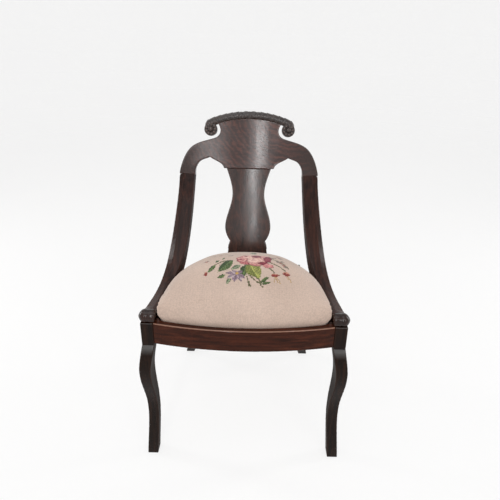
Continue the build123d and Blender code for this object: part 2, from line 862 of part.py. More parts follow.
front_screw_holes = [screw_solid(plane, joint_clearance) for plane in front_screws]
rear_screw_holes = [screw_solid(plane, joint_clearance) for plane in rear_screws]
rail_dowel_holes = [dowel_hole(plane) for plane in stile_rail_dowels]
mirrored_front_holes = [mirror(hole, about=Plane.YZ) for hole in front_screw_holes]
mirrored_rear_holes = [mirror(hole, about=Plane.YZ) for hole in rear_screw_holes]
bored_front_rail = bored(front_rail.part, front_screw_holes + mirrored_front_holes)
bored_rear_rail = bored(mortised_rear_rail.part, rear_screw_holes + mirrored_rear_holes)
bored_side_rail = bored(side_rail.part, front_screw_holes + rear_screw_holes + rail_dowel_holes)
bored_front_block = bored(front_block, front_screw_holes)
bored_rear_block = bored(rear_block, rear_screw_holes)


def group(pieces, both_sides):
    """Separate solids kept as one node, with their mirror images where both sides have them."""
    solids = [solid for piece in pieces for solid in piece.solids()]
    if both_sides:
        solids += [mirror(solid, about=Plane.YZ) for solid in solids]
    return Compound(children=solids)


block_screws = group([screw_solid(plane, 0) for plane in front_screws + rear_screws], True)
stile_dowels = group([dowel(plane) for plane in stile_crest_dowels + stile_rail_dowels], True)
knob_dowels = group([dowel(knob_dowel, knob_dowel_length)], True)
crest_dowels = group([dowel(plane, roll_dowel_length) for plane in roll_dowels], False)

# Drop-in seat, from the hem that rests on the ledge up to the crown
hem_z = ledge_z + soft_gap
frame_z = hem_z + hem_thick + soft_gap
frame_top = frame_z + seat_frame_thick
frame_inset = seat_clearance + cover_thick + frame_play + drawn_in * seat_front_corner[0]
ring_inset = frame_inset + seat_frame_width
front_joint_y = seat_front_corner[1] + ring_inset + frame_joint_margin
rear_joint_y = seat_rear_corner[1] - ring_inset - frame_joint_margin


def frame_member(low_x, high_x, low_y, high_y):
    """The part of the seat frame's ring that lies in a rectangle of the plan."""
    with BuildPart() as member:
        with BuildSketch(Plane.XY.offset(frame_z)):
            add(seat_plan(frame_inset))
            add(seat_plan(ring_inset), mode=Mode.SUBTRACT)
        extrude(amount=seat_frame_thick)
        with BuildSketch(Plane.XY.offset(frame_z)):
            with Locations(((low_x + high_x) / 2, (low_y + high_y) / 2)):
                Rectangle(high_x - low_x, high_y - low_y)
        extrude(amount=seat_frame_thick, mode=Mode.INTERSECT)
    return member.part


def seat_dowel_planes():
    """Two dowels across each joint of the seat frame's right-hand side."""
    pin_z = frame_z + seat_frame_thick / 2
    ring_middle = (frame_inset + ring_inset) / 2
    front_x = seat_front_corner[0] - ring_middle
    rear_x = seat_rear_corner[0] + rear_pin_out - ring_middle
    return [
        Plane(origin=(x + step, y, pin_z), z_dir=(0, 1, 0))
        for x, y in ((front_x, front_joint_y), (rear_x, rear_joint_y))
        for step in (-pin_half_pitch, pin_half_pitch)
    ]


far = overall_height
seat_pins = seat_dowel_planes()
pin_holes = [dowel_hole(plane) for plane in seat_pins]
pin_holes += [mirror(hole, about=Plane.YZ) for hole in pin_holes]

# Tacks through the hem into the underside of the seat frame
with BuildSketch() as tack_line:
    add(seat_plan(tack_inset))
tack_wire = tack_line.sketch.faces()[0].outer_wire()
tack_count = 2 * round(tack_wire.length / (2 * tack_pitch))
tack_points = [tack_wire @ ((i + 0.5) / tack_count) for i in range(tack_count)]
tack_planes = [Plane(origin=(point.X, point.Y, hem_z)) for point in tack_points if point.X > 0]


def tack(plane, spare):
    """A tack's head below the hem and its shank up into the frame, or its hole."""
    with BuildPart() as nail:
        with BuildSketch(plane):
            Circle(tack_shank_radius + spare)
        extrude(amount=tack_length + spare)
        if not spare:
            with BuildSketch(plane):
                Circle(tack_head_radius)
            extrude(amount=-tack_head_thick)
    return nail.part


tack_holes = [tack(plane, joint_clearance) for plane in tack_planes]
tack_holes += [mirror(hole, about=Plane.YZ) for hole in tack_holes]
seat_frame_front = bored(frame_member(-far, far, -far, front_joint_y), pin_holes + tack_holes)
seat_frame_rear = bored(frame_member(-far, far, rear_joint_y, far), pin_holes + tack_holes)
seat_frame_side = bored(frame_member(0, far, front_joint_y, rear_joint_y), pin_holes + tack_holes)
seat_dowels = group([dowel(plane) for plane in seat_pins], True)
cover_tacks = group([tack(plane, 0) for plane in tack_planes], True)

# Webbing in two layers, then the hessian
long_z = frame_top + soft_gap
cross_z = long_z + webbing_thick + soft_gap
hessian_z = cross_z + webbing_thick + soft_gap
with BuildPart() as webbing_long:
    strap_front = seat_front_y + strap_front_inset
    strap_rear = seat_rear_y - strap_rear_inset
    with BuildSketch(Plane.XY.offset(long_z)):
        with Locations((0, (strap_front + strap_rear) / 2)):
            with GridLocations(webbing_pitch, 1, 3, 1):
                Rectangle(webbing_width, strap_rear - strap_front)
    extrude(amount=webbing_thick)
with BuildPart() as webbing_cross:
    with BuildSketch(Plane.XY.offset(cross_z)):
        with Locations((0, seat_middle_y)):
            with GridLocations(1, webbing_pitch, 1, 3):
                Rectangle(2 * far, webbing_width)
        add(seat_plan(frame_inset + strap_end_inset), mode=Mode.INTERSECT)
    extrude(amount=webbing_thick)
with BuildPart() as hessian_sheet:
    with BuildSketch(Plane.XY.offset(hessian_z)):
        add(seat_plan(frame_inset + hessian_inset))
    extrude(amount=hessian_thick)

# The cushion's crown: the seat's outline drawn in below and rising to a dome
crown_z = rail_top + crown_height
wall_z = rail_top + cushion_wall
crown_steps = ((0.0, 1.0 - drawn_in), (0.2, 0.9), (0.43, 0.75), (0.71, 0.5), (0.9, 0.27), (1.0, 0.08))


def crown(shrink, low_z):
    """The domed solid inside the cover's outer face, smaller all over by shrink."""
    size_share = shrink / seat_side[0]
    wall = [(low_z, 1.0 - drawn_in), (rail_top + cushion_wall / 3, 1.0), (wall_z, 1.0 - drawn_in)]
    dome = [(wall_z + rise * (crown_z - wall_z - shrink), share) for rise, share in crown_steps]
    with BuildPart() as body:
        for levels in (wall, dome):
            for z, share in levels:
                with BuildSketch(Plane.XY.offset(z)):
                    add(seat_plan(0, share - size_share))
            loft()
    return body.part


with BuildPart() as seat_stuffing:
    add(crown(seat_clearance + cover_thick + 2 * soft_gap, hem_z - cut_spare))
    split(bisect_by=Plane.XY.offset(hessian_z + hessian_thick + soft_gap), keep=Keep.TOP)
with BuildPart() as seat_cover:
    add(crown(seat_clearance, hem_z))
    add(crown(seat_clearance + cover_thick, hem_z - cut_spare), mode=Mode.SUBTRACT)
    with BuildSketch(Plane.XY.offset(hem_z)):
        add(seat_plan(seat_clearance + cover_thick + hem_lap))
        add(seat_plan(hem_width), mode=Mode.SUBTRACT)
    extrude(amount=hem_thick)
    for hole in tack_holes:
        add(hole, mode=Mode.SUBTRACT)

save(crest_rail.part, "crest_rail")
save(crest_roll.part, "crest_roll")
save(splat.part, "splat")
save(bored_front_rail, "front_rail")
save(bored_rear_rail, "rear_rail")
save_pair(bored_side_rail, "side_rail")
save_pair(drilled_leg.part, "front_leg")
save_pair(rear_leg.part, "rear_leg")
save_pair(stile.part, "stile")
save_pair(knob.part, "stile_knob")
save_pair(bored_front_block, "front_corner_block")
save_pair(bored_rear_block, "rear_corner_block")
save(block_screws, "corner_block_screws")
save(stile_dowels, "stile_dowels")
save(knob_dowels, "knob_dowels")
save(crest_dowels, "crest_dowels")
save(seat_frame_front, "seat_frame_front")
save(seat_frame_rear, "seat_frame_rear")
save_pair(seat_frame_side, "seat_frame_side")
save(seat_dowels, "seat_frame_dowels")
save(webbing_long.part, "webbing_long")
save(webbing_cross.part, "webbing_cross")
save(hessian_sheet.part, "hessian_sheet")
save(seat_stuffing.part, "seat_stuffing")
save(seat_cover.part, "seat_cover")
save(cover_tacks, "cover_tacks")
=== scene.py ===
import math
import bmesh
import bpy
import numpy as np
from mathutils import Matrix, Vector
from mathutils.bvhtree import BVHTree


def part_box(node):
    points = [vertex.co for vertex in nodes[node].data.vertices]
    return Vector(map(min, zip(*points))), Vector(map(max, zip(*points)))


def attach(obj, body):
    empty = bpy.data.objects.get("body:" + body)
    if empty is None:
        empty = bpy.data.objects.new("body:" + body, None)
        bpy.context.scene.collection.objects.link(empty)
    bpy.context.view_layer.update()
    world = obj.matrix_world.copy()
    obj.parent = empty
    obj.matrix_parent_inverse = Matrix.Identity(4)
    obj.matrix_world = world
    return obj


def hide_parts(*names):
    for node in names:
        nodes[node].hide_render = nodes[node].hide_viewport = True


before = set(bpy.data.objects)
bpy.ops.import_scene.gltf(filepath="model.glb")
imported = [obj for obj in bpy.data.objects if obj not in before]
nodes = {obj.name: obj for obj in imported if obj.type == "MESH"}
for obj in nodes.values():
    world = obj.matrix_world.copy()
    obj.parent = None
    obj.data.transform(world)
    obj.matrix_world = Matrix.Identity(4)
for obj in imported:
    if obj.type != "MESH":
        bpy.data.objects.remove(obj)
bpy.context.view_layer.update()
print("frame loaded,", len(nodes), "nodes")


# small helpers for numbers and meshes

weld = {"fine": 1e-6, "turned": 1e-5, "floor": 1e-4}  # metres within which two vertices are one


def linearOf(screen):
    # 0-255 screen values, turned into the linear values that sockets take
    share = np.asarray(screen) / 255
    return np.where(share <= 0.04045, share / 12.92, ((share + 0.055) / 1.055) ** 2.4)


def tint(red, green, blue):
    return (*(float(level) for level in linearOf((red, green, blue))), 1.0)


def rise(value, low, high):
    # nought below low, one above high, and a smooth climb between them
    share = min(1.0, max(0.0, (value - low) / (high - low)))
    return share * share * (3 - 2 * share)


def hump(value, middle, half):
    return math.exp(-((value - middle) / half) ** 2)


def addObject(name, data):
    made = bpy.data.objects.new(name, data)
    bpy.context.scene.collection.objects.link(made)
    return made


def addPiece(name, mesh, material, body, slotName, *standsFor):
    for face in mesh.polygons:
        face.use_smooth = True
    mesh.materials.clear()
    mesh.materials.append(material)
    piece = addObject(name, mesh)
    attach(piece, body)
    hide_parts(*standsFor)
    return piece


def thicken(piece, thickness, offset):
    wall = piece.modifiers.new("thickness", "SOLIDIFY")
    wall.thickness = thickness
    wall.offset = offset


def meshFrom(bm, name):
    mesh = bpy.data.meshes.new(name)
    bm.to_mesh(mesh)
    bm.free()
    return mesh


def bakedMesh(form):
    # the form's mesh with its modifiers applied, after which the form goes
    mesh = bpy.data.meshes.new_from_object(form.evaluated_get(bpy.context.evaluated_depsgraph_get()))
    bpy.data.objects.remove(form)
    return mesh


def cutAway(bm, point, outward):
    # takes off what lies past a plane, and gives the edges of the cut
    everything = bm.verts[:] + bm.edges[:] + bm.faces[:]
    cut = bmesh.ops.bisect_plane(bm, geom=everything, plane_co=point, plane_no=outward, clear_outer=True,
                                 dist=weld["fine"])
    return [e for e in cut["geom_cut"] if isinstance(e, bmesh.types.BMEdge)]


def drawnOut(bm, edges, rim):
    # extrudes a rim's edges and gives each new vertex with the rim's vertex that it left
    made = bmesh.ops.extrude_edge_only(bm, edges=edges)["geom"]
    fresh = [v for v in made if isinstance(v, bmesh.types.BMVert)]
    return {v: next(e.other_vert(v) for e in v.link_edges if e.other_vert(v) in rim) for v in fresh}


def turnOnLathe(bm, points, centre, axis, steps):
    rim = [bm.verts.new(point) for point in points]
    edges = [bm.edges.new(pair) for pair in zip(rim, rim[1:])]
    bmesh.ops.spin(bm, geom=rim + edges, cent=centre, axis=axis, angle=2 * math.pi, steps=steps, use_merge=True)


# small helpers for shader nodes

def setSockets(tree, node, sockets):
    # a socket takes a plain value, or is linked to another node's output
    for key, value in sockets.items():
        if isinstance(value, bpy.types.NodeSocket):
            tree.links.new(value, node.inputs[key])
        else:
            node.inputs[key].default_value = value


def addNode(tree, kind, sockets=None, **settings):
    node = tree.nodes.new("ShaderNode" + kind)
    for key, value in settings.items():
        setattr(node, key, value)
    setSockets(tree, node, sockets or {})
    return node


def startMaterial(name):
    material = bpy.data.materials.new(name)
    material.use_nodes = True
    return material, material.node_tree, material.node_tree.nodes["Principled BSDF"]


def objectCoords(tree, turn=(0, 0, 0), size=(1, 1, 1), centre=(0, 0, 0)):
    # object coordinates, turned to the grain and measured in the sizes given
    place = addNode(tree, "TexCoord").outputs["Object"]
    sockets = {"Vector": place, "Location": centre, "Rotation": turn, "Scale": size}
    return addNode(tree, "Mapping", sockets, vector_type="TEXTURE").outputs["Vector"]


def axesOf(tree, vector):
    return addNode(tree, "SeparateXYZ", {"Vector": vector}).outputs


def noiseOf(tree, vector, **sockets):
    values = {"Vector": vector, "Scale": 1.0, "Detail": 3.0, "Roughness": 0.55, "Distortion": 0.0, **sockets}
    return addNode(tree, "TexNoise", values).outputs["Fac"]


def rampOf(tree, factor, stops):
    ramp = addNode(tree, "ValToRGB", {"Fac": factor})
    elements = ramp.color_ramp.elements
    while len(elements) < len(stops):
        elements.new(0.5)
    for element, (place, colour) in zip(elements, stops):
        element.position = place
        element.color = colour
    return ramp.outputs["Color"]


def mixColours(tree, factor, first, second, blend="MIX"):
    sockets = {0: factor, 6: first, 7: second}  # the node's colour sockets
    return addNode(tree, "Mix", sockets, data_type="RGBA", blend_type=blend).outputs[2]


def mathOf(tree, operation, first, second=0.0):
    return addNode(tree, "Math", {0: first, 1: second}, operation=operation).outputs[0]


def rangeOf(tree, value, low, high, fromLow=0.3, fromHigh=0.7):
    sockets = {"Value": value, "From Min": fromLow, "From Max": fromHigh, "To Min": low, "To Max": high}
    return addNode(tree, "MapRange", sockets).outputs["Result"]


def bumpOf(tree, height, strength, distance, **sockets):
    values = {"Height": height, "Strength": strength, "Distance": distance, **sockets}
    return addNode(tree, "Bump", values).outputs["Normal"]


# polished mahogany, with one set of tones for each kind of piece

grainUp = (0, 0, 0)
grainAcross = (0, math.pi / 2, 0)
grainBack = (-math.pi / 2, 0, 0)
grainSwept = (-0.85, 0, 0)
polish = {
    "stops": (0.30, 0.50, 0.70), "flameShare": 0.26,
    "flameSockets": {"Detail": 3.0, "Detail Scale": 1.6, "Detail Roughness": 0.6},
    "poreSize": (0.0011, 0.0011, 0.022), "poreShare": 0.7, "poreBump": (0.12, 0.0004),
    "poreShade": ((0.34, (0.55, 0.5, 0.48, 1)), (0.50, (1, 1, 1, 1))),
    "edge": (0.515, 0.60), "crack": (0.40, 0.49),  # pointiness of worn edges and of dirty cracks
    "cloudSize": (0.045, 0.045, 0.09), "frontward": (-0.35, -0.15), "sideways": (0.55, 0.85),
}


def flameOver(tree, figure, flame):
    # rings round the foot of a branch, mixed into the straight figure
    sockets = {"Vector": objectCoords(tree, centre=flame["centre"]), "Scale": flame["rings"],
               "Distortion": flame["waver"], **polish["flameSockets"]}
    rings = addNode(tree, "TexWave", sockets, wave_type="RINGS", rings_direction="SPHERICAL").outputs["Fac"]
    return mathOf(tree, "ADD", mathOf(tree, "MULTIPLY", figure, 1 - polish["flameShare"]),
                  mathOf(tree, "MULTIPLY", rings, polish["flameShare"]))


def paintedEdgeHighlight(tree, colour, facing, paintedHighlight):
    # painted highlight: the colour turns pale where a rounded edge looks up and to the front, standing in for a
    # lamp's reflection there
    upward = rangeOf(tree, facing["Z"], 0.0, paintedHighlight["share"], *paintedHighlight["from"])
    short = rangeOf(tree, facing["Z"], 1.0, 0.0, *paintedHighlight["to"])
    frontward = rangeOf(tree, facing["Y"], 1.0, 0.0, *polish["frontward"])
    share = mathOf(tree, "MULTIPLY", mathOf(tree, "MULTIPLY", upward, short), frontward)
    return mixColours(tree, share, colour, tint(*paintedHighlight["colour"]))


def scrapedHollow(tree, normal, hollow):
    # a hand-scraped hollow across the back, which gathers the light into one upright band
    across = mathOf(tree, "SUBTRACT", axesOf(tree, objectCoords(tree))["X"], hollow["middle"])
    depth = mathOf(tree, "DIVIDE", mathOf(tree, "MULTIPLY", across, across), 2 * hollow["radius"])
    return bumpOf(tree, depth, 1.0, 1.0, Normal=normal)


def mahogany(name, tone):
    material, tree, shader = startMaterial(name)
    streaks = objectCoords(tree, tone["grain"], tone["streak"])
    figure = noiseOf(tree, streaks, Detail=4.0, Distortion=tone["swirl"])
    if "flame" in tone:
        figure = flameOver(tree, figure, tone["flame"])
    colour = rampOf(tree, figure, [(stop, tint(*wood)) for stop, wood in zip(polish["stops"], tone["wood"])])
    if "ends" in tone:
        ends = tone["ends"]
        outward = mathOf(tree, "ABSOLUTE", axesOf(tree, objectCoords(tree))["X"])
        outer = rangeOf(tree, outward, 0.0, ends["share"], *ends["reach"])
        colour = mixColours(tree, outer, colour, tint(*ends["colour"]))
    pores = noiseOf(tree, objectCoords(tree, tone["grain"], polish["poreSize"]), Detail=2.0, Roughness=0.7)
    poreShade = rampOf(tree, pores, polish["poreShade"])
    colour = mixColours(tree, polish["poreShare"], colour, poreShade, "MULTIPLY")
    pointed = addNode(tree, "NewGeometry").outputs["Pointiness"]
    worn = rangeOf(tree, pointed, 0.0, tone["wear"], *polish["edge"])
    dirty = rangeOf(tree, pointed, tone["grime"], 0.0, *polish["crack"])
    colour = mixColours(tree, worn, colour, tint(*tone["worn"]))
    colour = mixColours(tree, dirty, colour, tint(*tone["dirt"]))
    facing = axesOf(tree, addNode(tree, "TexCoord").outputs["Normal"])
    # painted highlight along rounded edges that look up and to the front
    if "paintedHighlight" in tone:
        colour = paintedEdgeHighlight(tree, colour, facing, tone["paintedHighlight"])
    gloss = rangeOf(tree, noiseOf(tree, objectCoords(tree, size=polish["cloudSize"])), *tone["gloss"])
    if "sides" in tone:  # faces that look sideways are left from the saw, without polish
        sideways = mathOf(tree, "ABSOLUTE", facing["X"])
        gloss = mathOf(tree, "ADD", gloss, rangeOf(tree, sideways, 0.0, tone["sides"], *polish["sideways"]))
    normal = bumpOf(tree, pores, *polish["poreBump"])
    if "hollow" in tone:
        normal = scrapedHollow(tree, normal, tone["hollow"])
    setSockets(tree, shader, {"Base Color": colour, "Roughness": gloss, "Normal": normal,
                              "Specular IOR Level": tone["shine"]})
    return material


plainTone = {
    "wood": ((30, 17, 14), (50, 28, 21), (70, 39, 29)), "worn": (104, 66, 48), "dirt": (12, 9, 8),
    "wear": 0.25, "grime": 0.6, "grain": grainUp, "streak": (0.009, 0.009, 0.17), "swirl": 0.5,
    "gloss": (0.16, 0.28), "shine": 0.4,
}
woodTones = {  # what each finish has of its own, with its wood's colours from dark to light
    "crest": {"wood": ((50, 32, 29), (62, 39, 35), (86, 52, 44)), "grain": grainAcross, "gloss": (0.17, 0.27),
              "streak": (0.012, 0.012, 0.07), "swirl": 1.1, "shine": 0.5,
              "hollow": {"radius": 0.48, "middle": 0.003},
              "flame": {"centre": (0.13, 0.2, 0.90), "rings": 22.0, "waver": 7.0},
              "ends": {"reach": (0.11, 0.185), "share": 0.85, "colour": (46, 29, 25)}},
    "splat": {"wood": ((38, 25, 22), (54, 34, 29), (76, 44, 35)), "streak": (0.010, 0.010, 0.15), "swirl": 0.7,
              "gloss": (0.16, 0.26), "shine": 0.47, "hollow": {"radius": 0.32, "middle": -0.008}},
    "stile": {"wood": ((30, 19, 17), (46, 29, 25), (66, 39, 31)), "grain": grainSwept, "gloss": (0.14, 0.25),
              "sides": 0.35, "shine": 0.13,
              "ends": {"reach": (0.206, 0.236), "share": 0.6, "colour": (66, 37, 28)}},
    "rail": {"wood": ((44, 20, 11), (62, 29, 17), (80, 39, 23)), "grain": grainAcross, "gloss": (0.11, 0.2),
             "shine": 0.12,
             # painted highlight: a pale line along the rail's rounded top front edge
             "paintedHighlight": {"share": 0.85, "from": (0.38, 0.58), "to": (0.78, 0.93), "colour": (156, 118, 100)}},
    "sideRail": {"grain": grainBack},
    "leg": {"wood": ((20, 13, 9), (30, 18, 12), (44, 27, 18)), "gloss": (0.15, 0.26),
            "sides": 0.42, "shine": 0.12,
            # painted highlight: a grey patch on the top of each knee, where the polish would reflect the light
            "paintedHighlight": {"share": 0.6, "from": (0.30, 0.52), "to": (0.75, 0.95), "colour": (104, 103, 102)}},
    "rearLeg": {"wood": ((18, 12, 9), (26, 17, 13), (38, 24, 18)), "gloss": (0.3, 0.42),
                "sides": 0.3, "shine": 0.05},
    "knob": {"wood": ((24, 15, 12), (38, 23, 18), (54, 32, 24)), "grain": grainAcross, "gloss": (0.10, 0.2),
             "shine": 0.28},
    "carved": {"wood": ((28, 21, 19), (42, 32, 29), (58, 43, 38)), "grain": grainAcross, "gloss": (0.22, 0.38),
               "shine": 0.5, "worn": (112, 92, 84), "wear": 0.8, "grime": 0.95},
}
finishes = {kind: mahogany(kind + "Mahogany", {**plainTone, **tone}) for kind, tone in woodTones.items()}
print("mahogany finishes made:", len(finishes))


# unpolished wood, steel, webbing and hessian under the seat

ash = {"streak": (0.006, 0.006, 0.11), "dust": (0.05, 0.05, 0.05), "dustShare": 0.45,
       "dustColour": tint(96, 72, 50), "rough": (0.62, 0.8), "bump": (0.25, 0.0005),
       "wood": ((0.3, tint(132, 100, 66)), (0.5, tint(166, 132, 92)), (0.72, tint(186, 154, 112)))}
steel = {"spots": (0.002, 0.002, 0.002), "rough": (0.32, 0.6),
         "metal": ((0.35, tint(92, 84, 78)), (0.55, tint(134, 131, 128)), (0.7, tint(98, 66, 46)))}
weaves = {
    "webbing": {"pitch": 0.0014, "low": tint(112, 92, 62), "high": tint(176, 152, 112)},
    "hessian": {"pitch": 0.0021, "low": tint(92, 72, 46), "high": tint(164, 136, 94)},
}
yarn = {"slub": (0.004, 0.03, 0.01), "slubShare": 0.6, "stops": (0.1, 0.9), "bump": (0.6, 0.0006),
        "rough": (0.82, 0.95), "sheen": 0.15}
stripe = {"size": (0.019, 0.019, 0.019), "from": (0.72, 0.76), "share": 0.8, "colour": tint(92, 46, 34)}


def plainWood():
    material, tree, shader = startMaterial("unpolishedAsh")
    streaks = noiseOf(tree, objectCoords(tree, grainAcross, ash["streak"]), Detail=4.0, Distortion=0.5)
    dust = rangeOf(tree, noiseOf(tree, objectCoords(tree, size=ash["dust"])), 0.0, ash["dustShare"])
    stained = mixColours(tree, dust, rampOf(tree, streaks, ash["wood"]), ash["dustColour"])
    setSockets(tree, shader, {"Base Color": stained, "Roughness": rangeOf(tree, streaks, *ash["rough"]),
                              "Normal": bumpOf(tree, streaks, *ash["bump"])})
    return material


def oldSteel():
    material, tree, shader = startMaterial("oldSteel")
    spots = noiseOf(tree, objectCoords(tree, size=steel["spots"]), Detail=5.0)
    setSockets(tree, shader, {"Base Color": rampOf(tree, spots, steel["metal"]), "Metallic": 1.0,
                              "Roughness": rangeOf(tree, spots, *steel["rough"])})
    return material


def weaveHeight(tree, pitch):
    # over-and-under threads: two sine ridges whose product gives the crossings
    axes = axesOf(tree, objectCoords(tree, size=(pitch, pitch, pitch)))
    across, along = (mathOf(tree, "SINE", mathOf(tree, "MULTIPLY", axes[axis], math.pi)) for axis in "XY")
    return mathOf(tree, "MULTIPLY_ADD", mathOf(tree, "MULTIPLY", across, along), 0.5)


def clothOf(name, weave, stripeAxis=None):
    material, tree, shader = startMaterial(name)
    slub = noiseOf(tree, objectCoords(tree, size=yarn["slub"]))
    thread = weaveHeight(tree, weave["pitch"])
    height = mathOf(tree, "ADD", thread, mathOf(tree, "MULTIPLY", slub, yarn["slubShare"]))
    colour = rampOf(tree, height, tuple(zip(yarn["stops"], (weave["low"], weave["high"]))))
    if stripeAxis:
        axes = axesOf(tree, objectCoords(tree, size=stripe["size"]))
        place = mathOf(tree, "PINGPONG", axes[stripeAxis], 1.0)
        share = rangeOf(tree, place, 0.0, stripe["share"], *stripe["from"])
        colour = mixColours(tree, share, colour, stripe["colour"])
    setSockets(tree, shader, {"Base Color": colour, "Normal": bumpOf(tree, height, *yarn["bump"]),
                              "Roughness": rangeOf(tree, slub, *yarn["rough"]), "Sheen Weight": yarn["sheen"]})
    return material


longWeb = clothOf("webbingLong", weaves["webbing"], "X")
crossWeb = clothOf("webbingCross", weaves["webbing"], "Y")
hessian = clothOf("hessian", weaves["hessian"])
ashNodes = (
    "left_front_corner_block", "right_front_corner_block", "left_rear_corner_block", "right_rear_corner_block",
    "stile_dowels", "knob_dowels", "crest_dowels", "seat_frame_front", "seat_frame_rear",
    "left_seat_frame_side", "right_seat_frame_side", "seat_frame_dowels",
)
steelNodes = ("corner_block_screws", "cover_tacks")
innerPieces = {**dict.fromkeys(ashNodes, plainWood()), **dict.fromkeys(steelNodes, oldSteel())}
for nodeName, material in innerPieces.items():
    nodes[nodeName].data.materials.clear()
    nodes[nodeName].data.materials.append(material)
print("inner pieces finished:", len(innerPieces))


# sawn pieces: copies of the frame's solids with hand-softened edges

softening = {"endSpare": 0.006, "endNear": 2e-4, "factor": 0.5}
stileNodes = {1: "right_stile", -1: "left_stile"}
stilePlan = {"frontHalf": 0.239, "rearHalf": 0.2015, "frontY": -0.189, "rearY": 0.168,
             "headSlope": math.radians(61)}
toeIn = math.atan2(stilePlan["frontHalf"] - stilePlan["rearHalf"], stilePlan["rearY"] - stilePlan["frontY"])
stileBand = {"wide": 0.018, "narrow": 0.014, "slope": 0.42, "bin": 0.004, "evened": 7, "ends": 0.030,
             "flush": 0.008, "flushShare": 0.55, "thick": 0.027}
splatBead = {"nicks": ((0.4815, 0.0020), (0.4675, 0.0022)), "nickHalf": 0.00168, "bead": (0.4745, 0.0022),
             "beadHalf": 0.0028, "edge": (0.030, 0.048)}
footFill = {"half": 0.1, "near": 0.003, "reach": 0.050, "edge": 0.016}


def softenedMesh(nodeName, voxel, passes, cuts):
    bm = bmesh.new()
    bm.from_mesh(nodes[nodeName].data)
    bmesh.ops.remove_doubles(bm, verts=bm.verts, dist=weld["fine"])
    for point, outward in cuts:  # lengthened first, so that the cut leaves a crisp face
        ends = [v for v in bm.verts if abs((v.co - point).dot(outward)) < softening["endNear"]]
        bmesh.ops.translate(bm, verts=ends, vec=outward * softening["endSpare"])
    rough = addObject("rough", meshFrom(bm, "rough"))
    remesh = rough.modifiers.new("remesh", "REMESH")
    remesh.mode = "VOXEL"
    remesh.voxel_size = voxel
    smooth = rough.modifiers.new("smooth", "SMOOTH")
    smooth.factor = softening["factor"]
    smooth.iterations = passes
    mesh = bakedMesh(rough)
    bm = bmesh.new()
    bm.from_mesh(mesh)
    bpy.data.meshes.remove(mesh)
    for point, outward in cuts:
        bmesh.ops.triangle_fill(bm, edges=cutAway(bm, point, outward), normal=outward, use_beauty=True)
    return meshFrom(bm, nodeName)


def stileWay(side):
    # the level way along a stile, from the front to the rear
    return (-side * math.sin(toeIn), math.cos(toeIn), 0)


def stileHead(side):
    # the joint face at the top of a stile: its point furthest back and up, and the way it points
    slope = stilePlan["headSlope"]
    outward = Vector(stileWay(side)) * math.cos(slope) + Vector((0, 0, math.sin(slope)))
    mesh = nodes[stileNodes[side]].data
    return max((v.co.copy() for v in mesh.vertices), key=lambda co: co.dot(outward)), outward


stileHeads = {side: stileHead(side) for side in stileNodes}


def beadSplat(mesh):
    # a small bead between two nicks at the foot of the splat's edges
    middle, swelling = splatBead["bead"]
    for v in mesh.vertices:
        if abs(v.co.x) > splatBead["edge"][0]:
            shift = swelling * hump(v.co.z, middle, splatBead["beadHalf"])
            for height, depth in splatBead["nicks"]:
                shift -= depth * hump(v.co.z, height, splatBead["nickHalf"])
            v.co.x += math.copysign(shift, v.co.x) * rise(abs(v.co.x), *splatBead["edge"])


def bandStile(mesh):
    # the outer edge of a stile falls away in a band that widens towards the front
    side = math.copysign(1, mesh.vertices[0].co.x)
    sideways = np.array((side * math.cos(toeIn), math.sin(toeIn), 0))
    points = np.empty(len(mesh.vertices) * 3, np.float32)
    mesh.vertices.foreach_get("co", points)
    points = points.reshape(-1, 3).astype(float)
    along, across, height = points @ np.array(stileWay(side)), points @ sideways, points[:, 2]
    edges = np.arange(along.min(), along.max() + stileBand["bin"], stileBand["bin"])
    number = np.clip(((along - along.min()) / stileBand["bin"]).astype(int), 0, len(edges) - 1)
    top, low, out = (np.full(len(edges), start) for start in (-1e9, 1e9, -1e9))
    np.maximum.at(top, number, height)
    np.minimum.at(low, number, height)
    np.maximum.at(out, number, across)
    filled = top > 0
    middles = edges[filled] + stileBand["bin"] / 2
    padding, window = stileBand["evened"] // 2, np.ones(stileBand["evened"]) / stileBand["evened"]
    lines = [np.convolve(np.pad(line[filled], padding, "edge"), window, "valid") for line in (top, low, out)]
    topHere, lowHere, outHere = (np.interp(along, middles, line) for line in lines)
    steep = np.sqrt(1 + np.interp(along, middles, np.gradient(lines[0], middles)) ** 2)
    gone, left = along - along.min(), along.max() - along
    share = gone / gone.max()
    ends = np.clip(gone / stileBand["ends"], 0, 1) * np.clip(left / stileBand["ends"], 0, 1)
    band = stileBand["wide"] + (stileBand["narrow"] - stileBand["wide"]) * share
    inBand = np.clip(band - (outHere - across), 0, None)
    depth = np.clip((height - lowHere) / (topHere - lowHere), 0, 1)
    points[:, 2] -= stileBand["slope"] * inBand * ends * depth * steep
    fade = np.clip(1 - share / stileBand["flushShare"], 0, 1)  # the outer face ends level with the leg block
    outer = np.clip(1 - (outHere - across) / stileBand["thick"], 0, 1)
    points += sideways * (stileBand["flush"] * fade * fade * (3 - 2 * fade) * outer)[:, None]
    mesh.vertices.foreach_set("co", points.astype(np.float32).ravel())


def fillCrestFoot(mesh):
    # the crest's inner curve runs out flush with the stile's inner edge, with no step at the joint
    for side, (head, outward) in stileHeads.items():
        stile = nodes[stileNodes[side]].data
        face = [v.co for v in stile.vertices if abs((v.co - head).dot(outward)) < footFill["near"]]
        wanted = min(side * co.x for co in face)
        gone = {v: (v.co - head).dot(outward) for v in mesh.vertices if side * v.co.x > footFill["half"]}
        inner = min(side * v.co.x for v, off in gone.items() if off < footFill["near"])
        print("crest foot filled by", round((inner - wanted) * 1000, 2), "mm")
        for v, off in gone.items():
            share = 1 - rise(off, 0, footFill["reach"])
            share *= 1 - rise(side * v.co.x - inner, 0, footFill["edge"])
            v.co.x -= side * (inner - wanted) * share


